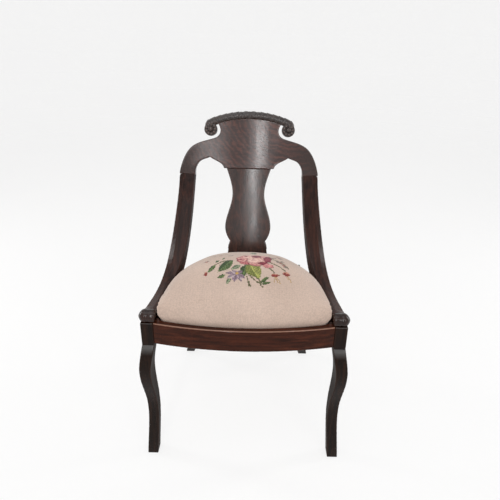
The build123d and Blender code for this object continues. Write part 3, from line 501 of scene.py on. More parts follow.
sawnPieces = {  # finish, size of the remeshing voxel, smoothing passes
    "crest_rail": ("crest", 0.0016, 4), "right_stile": ("stile", 0.0013, 5), "left_stile": ("stile", 0.0013, 5),
    "splat": ("splat", 0.0014, 3), "front_rail": ("rail", 0.0016, 3), "rear_rail": ("rail", 0.0018, 3),
    "right_side_rail": ("sideRail", 0.0018, 3), "left_side_rail": ("sideRail", 0.0018, 3),
    "right_front_leg": ("leg", 0.0015, 4), "left_front_leg": ("leg", 0.0015, 4),
    "right_rear_leg": ("rearLeg", 0.0017, 4), "left_rear_leg": ("rearLeg", 0.0017, 4),
}
squareEnds = {"crest_rail": [(head, -outward) for head, outward in stileHeads.values()],
              "right_stile": [stileHeads[1]], "left_stile": [stileHeads[-1]]}
shapers = {"crest_rail": fillCrestFoot, "right_stile": bandStile, "left_stile": bandStile, "splat": beadSplat}


def pieceNameOf(nodeName):
    first, *others = nodeName.split("_")
    return first + "".join(word.capitalize() for word in others)


for nodeName, (finish, voxel, passes) in sawnPieces.items():
    mesh = softenedMesh(nodeName, voxel, passes, squareEnds.get(nodeName, ()))
    if nodeName in shapers:
        shapers[nodeName](mesh)
    addPiece(pieceNameOf(nodeName), mesh, finishes[finish], "chair_frame", "mahogany", nodeName)
    print(nodeName, "softened,", len(mesh.polygons), "faces")


# turned knobs: a ball that runs over a soft waist into a short roll, flat on the leg block and on the stile

knob = {
    "steps": 56, "flat": 0.006,
    "profile": ((0.0, 0.0), (0.012, 0.20), (0.05, 0.40), (0.11, 0.62), (0.18, 0.80), (0.26, 0.93),
                (0.34, 0.99), (0.42, 0.99), (0.48, 0.955), (0.52, 0.935), (0.56, 0.945), (0.62, 0.97),
                (0.72, 0.97), (0.84, 0.96), (0.93, 0.92), (0.98, 0.84), (1.0, 0.74), (1.0, 0.0)),
}


def addKnob(side, place):
    nodeName, pieceName = place + "_stile_knob", place + "Knob"
    low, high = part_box(nodeName)
    radius = (high.z - low.z + knob["flat"]) / 2  # the frame's knob has lost this much to its flat
    middle = Vector((0, low.y + radius, high.z - radius))
    outer = high.x if side > 0 else low.x
    points = [(outer - side * along * (high.x - low.x), middle.y, middle.z + reach * radius)
              for along, reach in knob["profile"]]
    bm = bmesh.new()
    turnOnLathe(bm, points, middle, (1, 0, 0), knob["steps"])
    bmesh.ops.remove_doubles(bm, verts=bm.verts, dist=weld["turned"])
    bmesh.ops.recalc_face_normals(bm, faces=bm.faces)
    backward = Vector(stileWay(side))
    stileFace = backward * max(v.co.dot(backward) for v in nodes[nodeName].data.vertices)
    for point, outward in ((Vector((0, 0, low.z)), Vector((0, 0, -1))), (stileFace, backward)):
        bmesh.ops.holes_fill(bm, edges=cutAway(bm, point, outward), sides=0)
    addPiece(pieceName, meshFrom(bm, pieceName), finishes["knob"], "chair_frame", "mahogany", nodeName)


addKnob(1, "right")
addKnob(-1, "left")
print("knobs turned")


# carved crest roll: a leaf-cut bead that curls into a rosette at each end

rake = math.radians(13)
backUp = Vector((0, math.sin(rake), math.cos(rake)))
backFront = Vector((0, -math.cos(rake), math.sin(rake)))
roll = {
    "middle": Vector((0, 0.230, 0.839)), "halfSpan": 0.109, "arch": 0.021, "radius": 0.0124, "seat": 0.0095,
    "sink": 0.0012, "ground": 0.0012, "curl": 0.014, "curlTurn": math.radians(96), "lean": math.radians(48),
    "stations": 260, "around": 64, "motifHalf": 0.022, "motifFade": 0.004, "endSwell": 1.06,
}
leaf = {"length": 0.017, "relief": 0.0023, "spread": 2.3, "slant": 0.9, "edge": 0.16, "fall": 0.75,
        "thin": 0.35, "rib": 0.35, "ribHalf": 0.16, "veins": 3.0, "veinSlant": 1.6, "veinRelief": 0.0006,
        "veinFrom": 0.3}
motif = {"girth": 0.009, "lobes": 7, "lobeFrom": 0.006, "lobeShare": 0.55, "rim": (0.015, 0.004),
         "rimShare": 0.4, "bossHalf": 0.0045, "bossShare": 0.4}
volute = {
    "halfSpan": 0.112, "drop": 0.0405, "steps": 72, "petals": 9, "petalRelief": 0.0011, "petalFrom": 0.0095,
    "petalRing": (0.0078, 0.0176),
    "profile": ((0.0, 0.0158), (0.0026, 0.0154), (0.0050, 0.0142), (0.0067, 0.0120), (0.0074, 0.0102),
                (0.0086, 0.0104), (0.0105, 0.0123), (0.0129, 0.0130), (0.0152, 0.0122), (0.0168, 0.0104),
                (0.0176, 0.0109), (0.0184, 0.0098), (0.0188, 0.0070), (0.0188, -0.0075), (0.0176, -0.0108),
                (0.0150, -0.0119), (0.0, -0.0119)),
}
backMatrix = Matrix((
    (1, 0, 0, roll["middle"].x),
    (0, backUp.y, backFront.y, roll["middle"].y),
    (0, backUp.z, backFront.z, roll["middle"].z),
    (0, 0, 0, 1),
))


def rollStation(share):
    # place and outward direction in the back's own plane, and length from the middle, at a share from -1 to 1
    side = 1 if share >= 0 else -1
    arcRadius = (roll["halfSpan"] ** 2 + roll["arch"] ** 2) / (2 * roll["arch"])
    halfAngle = math.asin(roll["halfSpan"] / arcRadius)
    archLength = arcRadius * halfAngle
    gone = abs(share) * (archLength + roll["curl"] * roll["curlTurn"])
    angle = min(gone, archLength) / arcRadius
    place = Vector((arcRadius * math.sin(angle), arcRadius * math.cos(angle) - arcRadius))
    if gone > archLength:
        middle = place - Vector((math.sin(halfAngle), math.cos(halfAngle))) * roll["curl"]
        angle = halfAngle + (gone - archLength) / roll["curl"]
        place = middle + Vector((math.sin(angle), math.cos(angle))) * roll["curl"]
    return Vector((side * place.x, place.y)), Vector((side * math.sin(angle), math.cos(angle))), gone


def leafRelief(gone, around):
    # overlapping leaves that point to the middle of the crest, each with a rib and slanting veins
    spread = abs(around) / leaf["spread"]
    row = gone / leaf["length"] + leaf["slant"] * spread
    along = row - math.floor(row)
    blade = min(1.0, along / leaf["edge"]) * (1.0 - leaf["fall"] * along)
    blade *= max(0.0, 1.0 - leaf["thin"] * spread)
    vein = math.cos(2 * math.pi * (leaf["veins"] * row - leaf["veinSlant"] * spread)) * 0.5 + 0.5
    ribbed = blade + leaf["rib"] * hump(around, 0, leaf["ribHalf"])
    return leaf["relief"] * ribbed + leaf["veinRelief"] * vein * min(1.0, spread + leaf["veinFrom"])


def motifRelief(gone, around):
    # a small fan of lobes where the two runs of leaves meet
    girth = motif["girth"] * abs(around)
    reach = math.hypot(gone, girth)
    lobes = math.cos(motif["lobes"] * math.atan2(gone, girth + 1e-6)) * 0.5 + 0.5  # never both nought
    relief = motif["lobeShare"] * lobes * min(1.0, reach / motif["lobeFrom"])
    relief += motif["rimShare"] * hump(reach, *motif["rim"])
    relief += motif["bossShare"] * hump(reach, 0, motif["bossHalf"])
    return leaf["relief"] * relief


def rollRelief(gone, around):
    fade = min(1.0, max(0.0, (gone - roll["motifHalf"]) / roll["motifFade"] + 0.5))
    return fade * leafRelief(gone, around) + (1 - fade) * motifRelief(gone, around)


def carvePetals(bm, side):
    # petals round a rosette's boss
    nearest, furthest = volute["petalRing"]
    for v in bm.verts:
        across, up = v.co.x - side * volute["halfSpan"], v.co.y + volute["drop"]
        if v.co.z > volute["petalFrom"] and nearest < math.hypot(across, up) < furthest:
            v.co.z += volute["petalRelief"] * math.cos(volute["petals"] * math.atan2(up, across))


def addCrestRoll():
    bm = bmesh.new()
    ring = bmesh.ops.create_circle(bm, segments=roll["around"], radius=roll["radius"])["verts"]
    ends = []
    for index in range(roll["stations"] + 1):
        share = 2 * index / roll["stations"] - 1
        place, outward, gone = rollStation(share)
        if index:
            edges = list({e for v in ring for e in v.link_edges if all(o in ring for o in e.verts)})
            fresh = {old: v for v, old in drawnOut(bm, edges, ring).items()}
            ring = [fresh[v] for v in ring]
        size = 1 + (roll["endSwell"] - 1) * abs(share) ** 3
        for number, v in enumerate(ring):
            around = 2 * math.pi * number / len(ring) - math.pi  # nought faces front and up
            radius = roll["radius"] * size - roll["ground"] + rollRelief(gone, around)
            height = max(radius * math.cos(around + roll["lean"]), -roll["seat"] * size)
            point = place + outward * (height - roll["sink"])
            v.co = (point.x, point.y, radius * math.sin(around + roll["lean"]))
        if index in (0, roll["stations"]):
            ends.append(ring)
    for end in ends:
        bmesh.ops.contextual_create(bm, geom=end)
    for side in (-1, 1):
        middle = (side * volute["halfSpan"], -volute["drop"], 0)
        points = [(middle[0] + reach, middle[1], up) for reach, up in volute["profile"]]
        turnOnLathe(bm, points, middle, (0, 0, 1), volute["steps"])
    bmesh.ops.remove_doubles(bm, verts=bm.verts, dist=weld["turned"])
    for side in (-1, 1):
        carvePetals(bm, side)
    bmesh.ops.recalc_face_normals(bm, faces=bm.faces)
    bmesh.ops.transform(bm, matrix=backMatrix, verts=bm.verts)
    mesh = meshFrom(bm, "crestRoll")
    return addPiece("crestRoll", mesh, finishes["carved"], "chair_frame", "carved_mahogany", "crest_roll")


crestRoll = addCrestRoll()
print("crest roll carved,", len(crestRoll.data.polygons), "faces")


# needlepoint: a canvas of wool stitches with a spray of flowers, drawn stitch by stitch

stitching = {
    "pitch": 0.0021, "ground": (208, 185, 170), "thread": 6.3, "threadDepth": 7.0, "threadSharp": 8, "lot": 1.5,
    "stray": 0.7, "dyedFrom": 26, "speckle": 0.16, "patch": (0.65, 0.35),
    "drift": ((0.0, 0.061, 1.3), (0.047, 0.0, 0.6), (0.023, 0.023, 0.0)),  # turns in x and y, and start
    "patches": ((0.031, 0.0, 2.0), (0.0, 0.043, 0.4)),
}
wool = {"lots": (0.90, 1.05), "shade": (0.72, 1.04), "shadeTo": 0.9, "bump": (0.55, 0.0007),
        "rough": (0.84, 0.96), "shine": 0.2, "sheen": 0.25, "sheenRough": 0.5}
leafGreens = {"olive": ((152, 154, 84), (116, 122, 62)), "deep": ((92, 110, 66), (54, 72, 42)),
              "grey": ((132, 140, 112), (96, 108, 86)), "dusk": ((150, 132, 120), (116, 100, 92))}
leafStitch = {"tooth": 6.0, "toothDepth": 0.16, "blunt": 0.85, "veinsFrom": 10, "veinPitch": 8.0,
              "veinSlant": 1.1, "veinLine": 0.55, "rib": 1.2, "veinShade": 0.7, "ribShade": 1.15,
              "shadeShare": 0.75}
roseStitch = {"lobe": 0.09, "lobes": 5, "folds": (4.5, 8.0, 1.7), "foldLine": 0.35, "foldShare": 0.6,
              "rims": (  # least reach, lowest and highest place, share of the shade, strength
                  (0.80, -math.inf, 0.25, 1.0, 0.9), (0.86, 0.25, math.inf, 1.0, 0.5),
                  (0.93, -math.inf, 0.1, 0.72, 0.8))}
flowers = {  # places on the seat in millimetres, x to the right and y to the back
    "leaves": (  # greens, base, tip, width
        ("grey", (22, -32), (17, -3), 17), ("grey", (-12, -102), (-38, -116), 13),
        ("deep", (3, -98), (-9, -146), 22), ("olive", (8, -94), (35, -147), 40),
        ("deep", (-34, -80), (-71, -128), 27), ("deep", (-79, -99), (-97, -128), 13),
        ("deep", (-71, -79), (-80, -89), 7), ("deep", (-56, -64), (-62, -76), 7),
        ("deep", (-51, -137), (-70, -147), 11), ("grey", (-35, -148), (-46, -165), 11),
        ("deep", (39, -159), (59, -139), 9), ("deep", (40, -164), (64, -156), 8),
        ("dusk", (60, -62), (84, -50), 7), ("dusk", (84, -52), (104, -50), 6),
        ("dusk", (78, -72), (93, -86), 7), ("dusk", (92, -84), (114, -106), 8),
        ("dusk", (84, -34), (97, -50), 6), ("dusk", (88, -72), (106, -74), 6),
        ("dusk", (-94, -74), (-115, -82), 6), ("dusk", (-82, -40), (-92, -46), 5),
        ("dusk", (-62, -42), (-74, -46), 5), ("dusk", (-32, -48), (-48, -52), 5),
        ("dusk", (-50, -34), (-62, -32), 4), ("dusk", (58, -30), (74, -26), 5),
    ),
    "stems": (((4, -140), (8, -156), (12, -172)), ((11, -138), (26, -154), (44, -172)),
              ((30, -146), (36, -154), (39, -163)), ((-36, -82), (-60, -80), (-80, -100)),
              ((48, -96), (60, -108), (74, -124)), ((58, -84), (82, -92), (104, -114)),
              ((66, -66), (92, -70), (112, -100))),
    "stamens": (((74, -139), (73, -150), (72, -157)), ((77, -139), (84, -146), (89, -160)),
                ((76, -139), (78, -150), (84, -158)), ((108, -131), (113, -142), (116, -150)),
                ((106, -131), (107, -140), (110, -147))),
    "threads": {"stems": (1.8, (92, 90, 62), 0.9), "stamens": (1.1, (172, 138, 92), 0.8)},
    "florets": ((92, -82), (100, -92), (84, -36), (88, -46), (-104, -80), (-68, -44)),
    "floretRings": ((4.2, (178, 122, 112), 0.8), (2.0, (132, 74, 70), 0.8)),
    "buds": ((75, -133, 11, 6), (105, -125, 10, 7), (-101, -131, 5, 7)),
    "budCup": (134, 56, 52), "budTip": (186, 128, 108), "budTipFrom": 0.35,
    "lily": {"heart": (-21, -131), "width": 12, "light": (186, 168, 172), "dark": (144, 122, 134),
             "shadeFrom": -1.5, "rib": 1.1, "ribShade": 0.72, "eye": 4.4, "eyeColour": (206, 168, 92),
             "petals": ((-51, -130), (-47, -148), (-28, -160), (-8, -158), (0, -147), (-34, -120), (-8, -121))},
    "rose": (  # petals from the back to the front: middle, half sizes, wool, shaded wool
        (20, -74, 40, 30, (214, 166, 156), (186, 120, 116)), (5, -58, 15, 14, (232, 194, 180), (196, 132, 126)),
        (51, -54, 12, 9, (226, 180, 168), (190, 120, 118)), (28, -55, 13, 8, (128, 44, 60), (104, 28, 44)),
        (57, -70, 10, 18, (144, 58, 72), (112, 32, 48)), (-10, -74, 15, 15, (218, 166, 156), (176, 96, 100)),
        (-14, -75, 9, 3, (154, 66, 78), (130, 44, 60)), (24, -78, 22, 13, (234, 198, 184), (204, 146, 138)),
        (-3, -92, 11, 6, (192, 114, 114), (160, 76, 84)), (46, -92, 13, 6, (136, 48, 64), (110, 30, 46)),
        (58, -101, 14, 8, (208, 146, 142), (178, 104, 106)), (0, -52, 6, 4, (156, 66, 80), (128, 44, 60)),
        (62, -58, 4, 6, (124, 40, 56), (104, 28, 44)), (12, -70, 8, 5, (240, 208, 194), (214, 160, 148)),
    ),
}


def leafShape(x, y, base, tip, width):
    # distance along a leaf, distance from its rib, and which stitches are inside its toothed edge
    length = math.dist(base, tip)
    ux, uy = (tip[0] - base[0]) / length, (tip[1] - base[1]) / length
    along = ((x - base[0]) * ux + (y - base[1]) * uy) / length
    off = -(x - base[0]) * uy + (y - base[1]) * ux
    teeth = 1.0 + leafStitch["toothDepth"] * ((along * length / leafStitch["tooth"]) % 1.0 - 0.5)
    half = 0.5 * width * teeth * np.sin(np.pi * np.clip(along, 0, 1) ** leafStitch["blunt"])
    return along * length, off, (along > 0) & (along < 1) & (np.abs(off) < half)


def strokeDistance(x, y, points):
    # distance to a thread laid through three points
    nearest = np.full(x.shape, 1e9)
    first, bend, last = np.array(points, float)
    for share in np.linspace(0, 1, 40):
        px, py = (1 - share) ** 2 * first + 2 * share * (1 - share) * bend + share ** 2 * last
        nearest = np.minimum(nearest, np.hypot(x - px, y - py))
    return nearest


def chanceOf(cell, lot):
    # a fixed spread from -1 to 1, one value for each stitch: the broken part of a very quick wave
    wave = np.sin(cell[:, 0] * (12.99 + lot) + cell[:, 1] * (78.23 - 3 * lot)) * 43758.5
    return 2 * (wave - np.floor(wave)) - 1


def waveOf(x, y, turns):
    return np.sin(x * turns[0] + y * turns[1] + turns[2])


def shaded(colour, share):
    return tuple(share * level for level in colour)


def paint(colours, mask, colour, strength=1.0):
    colours[mask] = colours[mask] * (1 - strength) + np.array(colour) * strength


def drawGround(x, y):
    # plain ground: the canvas threads show as a faint grid, with dye lots that drift across the seat
    colours = np.tile(np.array(stitching["ground"], float), (len(x), 1))
    drift = sum(waveOf(x, y, turns) for turns in stitching["drift"])
    lines = sum(np.cos(2 * np.pi * place / stitching["thread"]) ** stitching["threadSharp"] for place in (x, y))
    level, depth = stitching["patch"]
    patch = level + depth * math.prod(waveOf(x, y, turns) for turns in stitching["patches"])
    return colours + (stitching["lot"] * drift - stitching["threadDepth"] * lines * patch)[:, None]


def drawLeaves(colours, x, y):
    for kind, base, tip, width in flowers["leaves"]:
        light, dark = leafGreens[kind]
        along, off, inside = leafShape(x, y, base, tip, width)
        paint(colours, inside, light)
        paint(colours, inside & (off < 0), dark, leafStitch["shadeShare"])
        if width > leafStitch["veinsFrom"]:
            slanted = (along - leafStitch["veinSlant"] * np.abs(off)) / leafStitch["veinPitch"]
            veins = np.cos(2 * np.pi * slanted) > leafStitch["veinLine"]
            paint(colours, inside & veins, shaded(dark, leafStitch["veinShade"]), leafStitch["shadeShare"])
            paint(colours, inside & (np.abs(off) < leafStitch["rib"]), shaded(light, leafStitch["ribShade"]))


def drawRose(colours, x, y):
    perAcross, perReach, perPetal = roseStitch["folds"]
    for number, (cx, cy, wide, deep, petal, shade) in enumerate(flowers["rose"]):
        across, up = (x - cx) / wide, (y - cy) / deep
        lobes = np.cos(roseStitch["lobes"] * np.arctan2(up, across) + number)
        reach = np.hypot(across, up) / (1 + roseStitch["lobe"] * lobes)
        inside = reach < 1
        paint(colours, inside, petal)
        folds = np.cos(perAcross * across + perReach * reach + perPetal * number) > roseStitch["foldLine"]
        paint(colours, inside & folds, shade, roseStitch["foldShare"])
        for nearest, lowest, highest, tone, strength in roseStitch["rims"]:
            rim = inside & (reach > nearest) & (up >= lowest) & (up < highest)
            paint(colours, rim, shaded(shade, tone), strength)


def drawLily(colours, x, y):
    lily = flowers["lily"]
    for number, tip in enumerate(lily["petals"]):
        along, off, inside = leafShape(x, y, lily["heart"], tip, lily["width"])
        paint(colours, inside, lily["light"] if number % 2 else lily["dark"])
        paint(colours, inside & (off < lily["shadeFrom"]), lily["dark"], 0.8)
        paint(colours, inside & (np.abs(off) < lily["rib"]), shaded(lily["dark"], lily["ribShade"]), 0.7)
    paint(colours, np.hypot(x - lily["heart"][0], y - lily["heart"][1]) < lily["eye"], lily["eyeColour"])


def drawBouquet(x, y):
    # screen colours of the stitches at these places
    colours = drawGround(x, y)
    for kind, (width, colour, strength) in flowers["threads"].items():
        for points in flowers[kind]:
            paint(colours, strokeDistance(x, y, points) < width, colour, strength)
    drawLeaves(colours, x, y)
    for cx, cy in flowers["florets"]:
        for radius, colour, strength in flowers["floretRings"]:
            paint(colours, np.hypot(x - cx, y - cy) < radius, colour, strength)
    for cx, cy, wide, deep in flowers["buds"]:
        inside = np.hypot((x - cx) / wide, (y - cy) / deep) < 1
        paint(colours, inside, flowers["budCup"])
        paint(colours, inside & (y - cy > flowers["budTipFrom"] * deep), flowers["budTip"])
    drawLily(colours, x, y)
    drawRose(colours, x, y)
    return np.clip(colours, 0, 255)


def needlepoint():
    material, tree, shader = startMaterial("needlepointWool")
    canvas = addNode(tree, "UVMap", uv_map="canvas").outputs["UV"]
    scaled = addNode(tree, "VectorMath", {0: canvas, "Scale": 1 / stitching["pitch"]}, operation="SCALE")
    cell, within = (addNode(tree, "VectorMath", {0: scaled.outputs[0]}, operation=part).outputs[0]
                    for part in ("FLOOR", "FRACTION"))
    axes = axesOf(tree, within)
    offLine = mathOf(tree, "ABSOLUTE", mathOf(tree, "SUBTRACT", axes["X"], axes["Y"]))
    onLine = mathOf(tree, "ABSOLUTE", mathOf(tree, "SUBTRACT", mathOf(tree, "ADD", axes["X"], axes["Y"]), 1.0))
    slope = mathOf(tree, "MULTIPLY", mathOf(tree, "SUBTRACT", 1.0, mathOf(tree, "POWER", offLine, 2.0)),
                   mathOf(tree, "SUBTRACT", 1.0, mathOf(tree, "POWER", onLine, 3.0)))
    chance = addNode(tree, "TexWhiteNoise", {"Vector": cell}, noise_dimensions="2D").outputs["Value"]
    # painted shade: the wool's colour is darkened where each slanted stitch falls away into the grooves between
    # stitches, times a real dye lot that differs from stitch to stitch
    shade = mathOf(tree, "MULTIPLY", rangeOf(tree, chance, *wool["lots"], 0.0, 1.0),
                   rangeOf(tree, slope, *wool["shade"], 0.0, wool["shadeTo"]))
    grey = addNode(tree, "CombineXYZ", {"X": shade, "Y": shade, "Z": shade}).outputs["Vector"]
    dyed = addNode(tree, "VertexColor", layer_name="stitchColour").outputs["Color"]
    setSockets(tree, shader, {"Base Color": mixColours(tree, 1.0, dyed, grey, "MULTIPLY"),
                              "Normal": bumpOf(tree, slope, *wool["bump"]),
                              "Roughness": rangeOf(tree, chance, *wool["rough"], 0.0, 1.0),
                              "Specular IOR Level": wool["shine"], "Sheen Weight": wool["sheen"],
                              "Sheen Roughness": wool["sheenRough"]})
    return material


# slip seat cover: the canvas stretched over the crown, swelled by a short cloth simulation

cushion = {
    "columns": 104, "rows": 84, "frontCorner": -34.5, "rearCorner": 49.6, "girth": 0.2, "topShare": 0.985,
    "walls": ((0.994, 0.88, 0.0), (1.0, 0.60, 0.0), (0.998, 0.34, 0.0), (0.987, 0.08, 0.0), (0.982, 0.01, 0.0),
              (0.982, 0.01, 0.024)),  # downwards: shares of the outline and the height, turned in by
    "wallHeight": 0.0377, "pinBelow": 0.2, "sink": 0.0025, "thick": 0.0015, "railTop": 0.4285,
    "domeFront": (3.0, 0.50), "domeRear": (2.2, 0.60), "domeTurn": (-0.6, 0.8),
    "rearFall": 0.62, "rearDrop": 0.36, "rearFrom": (-0.2, 0.9),
    "sideSwell": 0.009, "swellFrom": (-0.12, -0.03), "swellAbove": 0.004, "swellTo": (0.465, 0.525),
    "cornerSwell": 0.020, "cornerReach": 0.040, "clear": 0.0008, "overKnob": 0.001,
    "frontLean": 0.020, "leanFrom": (0.3, 1.0), "frontTuck": 0.010,
    "frontSwell": (0.0005, 0.0045), "frontY": 0.1, "leastPush": 1e-5,
    "measured": 81, "measureShare": (0.9, 0.975), "inside": 0.997, "frames": 20, "swellCap": 0.0045,
    "cloth": {"quality": 6, "mass": 0.35, "tension_stiffness": 20, "compression_stiffness": 20,
              "bending_stiffness": 2.0, "use_pressure": True, "uniform_pressure_force": 4.0},
}


def treeOf(nodeName):
    mesh = nodes[nodeName].data
    return BVHTree.FromPolygons([v.co for v in mesh.vertices], [f.vertices[:] for f in mesh.polygons])


coverTree = treeOf("seat_cover")
coverLow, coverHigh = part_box("seat_cover")
girthHeight = coverLow.z + cushion["girth"] * (coverHigh.z - coverLow.z)
seatMiddle = Vector((0, (coverLow.y + coverHigh.y) / 2, girthHeight))


def outlineHit(tree, start, heading):
    return tree.ray_cast(start, heading)[0].xy


def cornerHit(tree, middle, degrees):
    heading = Vector((math.cos(math.radians(degrees)), math.sin(math.radians(degrees)), 0))
    return outlineHit(tree, middle + heading, -heading)


def stretchedGrid(tree, middle, columns, rows):
    # a flat grid stretched to a node's outline: the mesh, and each vertex's shares and place
    front = cornerHit(tree, middle, cushion["frontCorner"])
    rear = cornerHit(tree, middle, cushion["rearCorner"])
    bm = bmesh.new()
    bmesh.ops.create_grid(bm, x_segments=columns, y_segments=rows, size=1)
    frontEdge, rearEdge, sideEdge, spots = {}, {}, {}, {}
    for v in bm.verts:
        u, w = round(v.co.x, 5), round(v.co.y, 5)
        if u not in frontEdge:
            frontEdge[u] = outlineHit(tree, Vector((u * front.x, -1, middle.z)), Vector((0, 1, 0)))
            rearEdge[u] = outlineHit(tree, Vector((u * rear.x, 1, middle.z)), Vector((0, -1, 0)))
        if w not in sideEdge:
            y = front.y + (rear.y - front.y) * (w + 1) / 2
            sideEdge[w] = outlineHit(tree, Vector((1, y, middle.z)), Vector((-1, 0, 0)))
        across, back = (u + 1) / 2, (w + 1) / 2
        right = sideEdge[w]
        left = Vector((-right.x, right.y))
        corners = (1 - across) * (1 - back) * Vector((-front.x, front.y)) + across * (1 - back) * front
        corners += (1 - across) * back * Vector((-rear.x, rear.y)) + across * back * rear
        between = (1 - back) * frontEdge[u] + back * rearEdge[u] + (1 - across) * left + across * right
        spots[v] = (u, w, between - corners)
    return bm, spots


def crownHeight(x, y):
    inside = seatMiddle.xy + (Vector((x, y)) - seatMiddle.xy) * cushion["inside"]
    return coverTree.ray_cast(Vector((inside.x, inside.y, coverHigh.z + 0.1)), Vector((0, 0, -1)))[0].z


def raiseCrown(spots):
    # the stretched grid is lifted to a dome that falls towards its rear corners and leans back at the front
    for v, (u, w, spot) in spots.items():
        frontward = rise(-w, 0.0, 1.0) * (1 - abs(u) ** 3)
        share = cushion["topShare"] - (cushion["frontLean"] + cushion["frontTuck"]) * frontward
        place = seatMiddle.xy + (spot - seatMiddle.xy) * share
        corner = abs(u) ** 3 * rise(w, *cushion["rearFrom"])
        rim = coverLow.z + cushion["wallHeight"] * (1 - cushion["rearDrop"] * corner)
        toRear = rise(w, *cushion["domeTurn"])
        power, rounding = (front + (rear - front) * toRear
                           for front, rear in zip(cushion["domeFront"], cushion["domeRear"]))
        dome = (1 - min(1.0, abs(u)) ** power) ** rounding * (1 - cushion["rearFall"] * corner)
        v.co = (place.x, place.y, rim + (crownHeight(0, place.y) - rim) * dome)


def arcLengths(samples):
    # length along a line over the crown, from a list of places on it
    return np.cumsum([0.0] + [(second - first).length for first, second in zip(samples, samples[1:])])


def overCrown(value, places, lengths):
    # length over the crown up to a place, and straight on past the last one measured
    return np.interp(value, places, lengths) + value - np.clip(value, places[0], places[-1])


def canvasPlaces(bm):
    # where each vertex lies on the flat canvas
    halfFront = cornerHit(coverTree, seatMiddle, cushion["frontCorner"]).x
    acrossShare, backShare = cushion["measureShare"]
    xs = np.linspace(-halfFront, halfFront, cushion["measured"]) * acrossShare
    ys = seatMiddle.y + (np.linspace(coverLow.y, coverHigh.y, cushion["measured"]) - seatMiddle.y) * backShare
    across = arcLengths([Vector((x, seatMiddle.y, crownHeight(x, seatMiddle.y))) for x in xs])
    back = arcLengths([Vector((0, y, crownHeight(0, y))) for y in ys])
    across -= np.interp(0, xs, across)
    back += seatMiddle.y - np.interp(seatMiddle.y, ys, back)
    return {v: Vector((overCrown(v.co.x, xs, across), overCrown(v.co.y, ys, back))) for v in bm.verts}


def addWalls(bm, spots, canvas):
    # the sides run down from the crown's rim to a hem under the seat; gives the vertices that are tacked
    start = {v: spots[v][2] - seatMiddle.xy for v in bm.verts if v.is_boundary}
    heights = {v: v.co.z - coverLow.z for v in start}
    tacked = []
    for share, lift, inward in cushion["walls"]:
        lean = cushion["frontLean"] * rise(lift, *cushion["leanFrom"]) + cushion["frontTuck"]
        moved = {}
        for v, old in drawnOut(bm, [e for e in bm.edges if e.is_boundary], start).items():
            away = start[old]
            outward = away.normalized()
            plan = seatMiddle.xy + away * (share - lean * max(0.0, -outward.y) ** 2) - outward * inward
            v.co = (plan.x, plan.y, coverLow.z + lift * heights[old])
            canvas[v] = canvas[old] + outward * (v.co - old.co).length
            moved[v] = away
            heights[v] = heights[old]
        start = moved
        if lift < cushion["pinBelow"]:
            tacked += moved
    return tacked


def swellSides(bm):
    # above the rail the stuffed sides lean out until they nearly touch the stiles and knobs
    neighbours = [treeOf(name) for name in ("right_stile", "left_stile", "right_stile_knob", "left_stile_knob")]
    corner = cornerHit(coverTree, seatMiddle, cushion["frontCorner"])
    knobLow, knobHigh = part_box("right_stile_knob")
    for v in bm.verts:
        away = v.co.xy - seatMiddle.xy
        low = rise(v.co.z, cushion["railTop"], cushion["railTop"] + cushion["swellAbove"])
        high = 1 - rise(v.co.z, *cushion["swellTo"])
        frontward = 1 - rise(v.co.y, *cushion["swellFrom"])
        near = math.hypot(abs(v.co.x) - corner.x, v.co.y - corner.y)
        push = cushion["sideSwell"] * frontward * min(1.0, abs(away.x) / corner.x) ** 3
        push = low * high * (push + cushion["cornerSwell"] * hump(near, 0, cushion["cornerReach"]))
        if push < cushion["leastPush"]:
            continue
        heading = Vector((math.copysign(1, away.x), 0, 0))
        besideKnob = v.co.y < knobHigh.y and v.co.z < knobHigh.z
        widest = knobLow.x - cushion["clear"] if besideKnob else knobLow.x + cushion["overKnob"]
        room = min(push, max(0.0, widest - abs(v.co.x)))
        for neighbour in neighbours:
            hit = neighbour.ray_cast(v.co, heading, push + cushion["clear"])
            if hit[0] is not None:
                room = min(room, max(0.0, hit[3] - cushion["clear"]))
        v.co += heading * room


def coverBase():
    bm, spots = stretchedGrid(coverTree, seatMiddle, cushion["columns"], cushion["rows"])
    raiseCrown(spots)
    canvas = canvasPlaces(bm)
    tacked = addWalls(bm, spots, canvas)
    bmesh.ops.recalc_face_normals(bm, faces=bm.faces)
    swellSides(bm)
    layer = bm.loops.layers.uv.new("canvas")
    for face in bm.faces:
        for loop in face.loops:
            loop[layer].uv = canvas[loop.vert]
    bm.verts.index_update()
    tackedIndex = [v.index for v in tacked]
    bm.normal_update()
    for v in bm.verts:  # the crown starts a little low, because the pressure raises it
        if v.co.z > coverLow.z + cushion["wallHeight"]:
            v.co -= v.normal * cushion["sink"]
    return meshFrom(bm, "coverBase"), tackedIndex


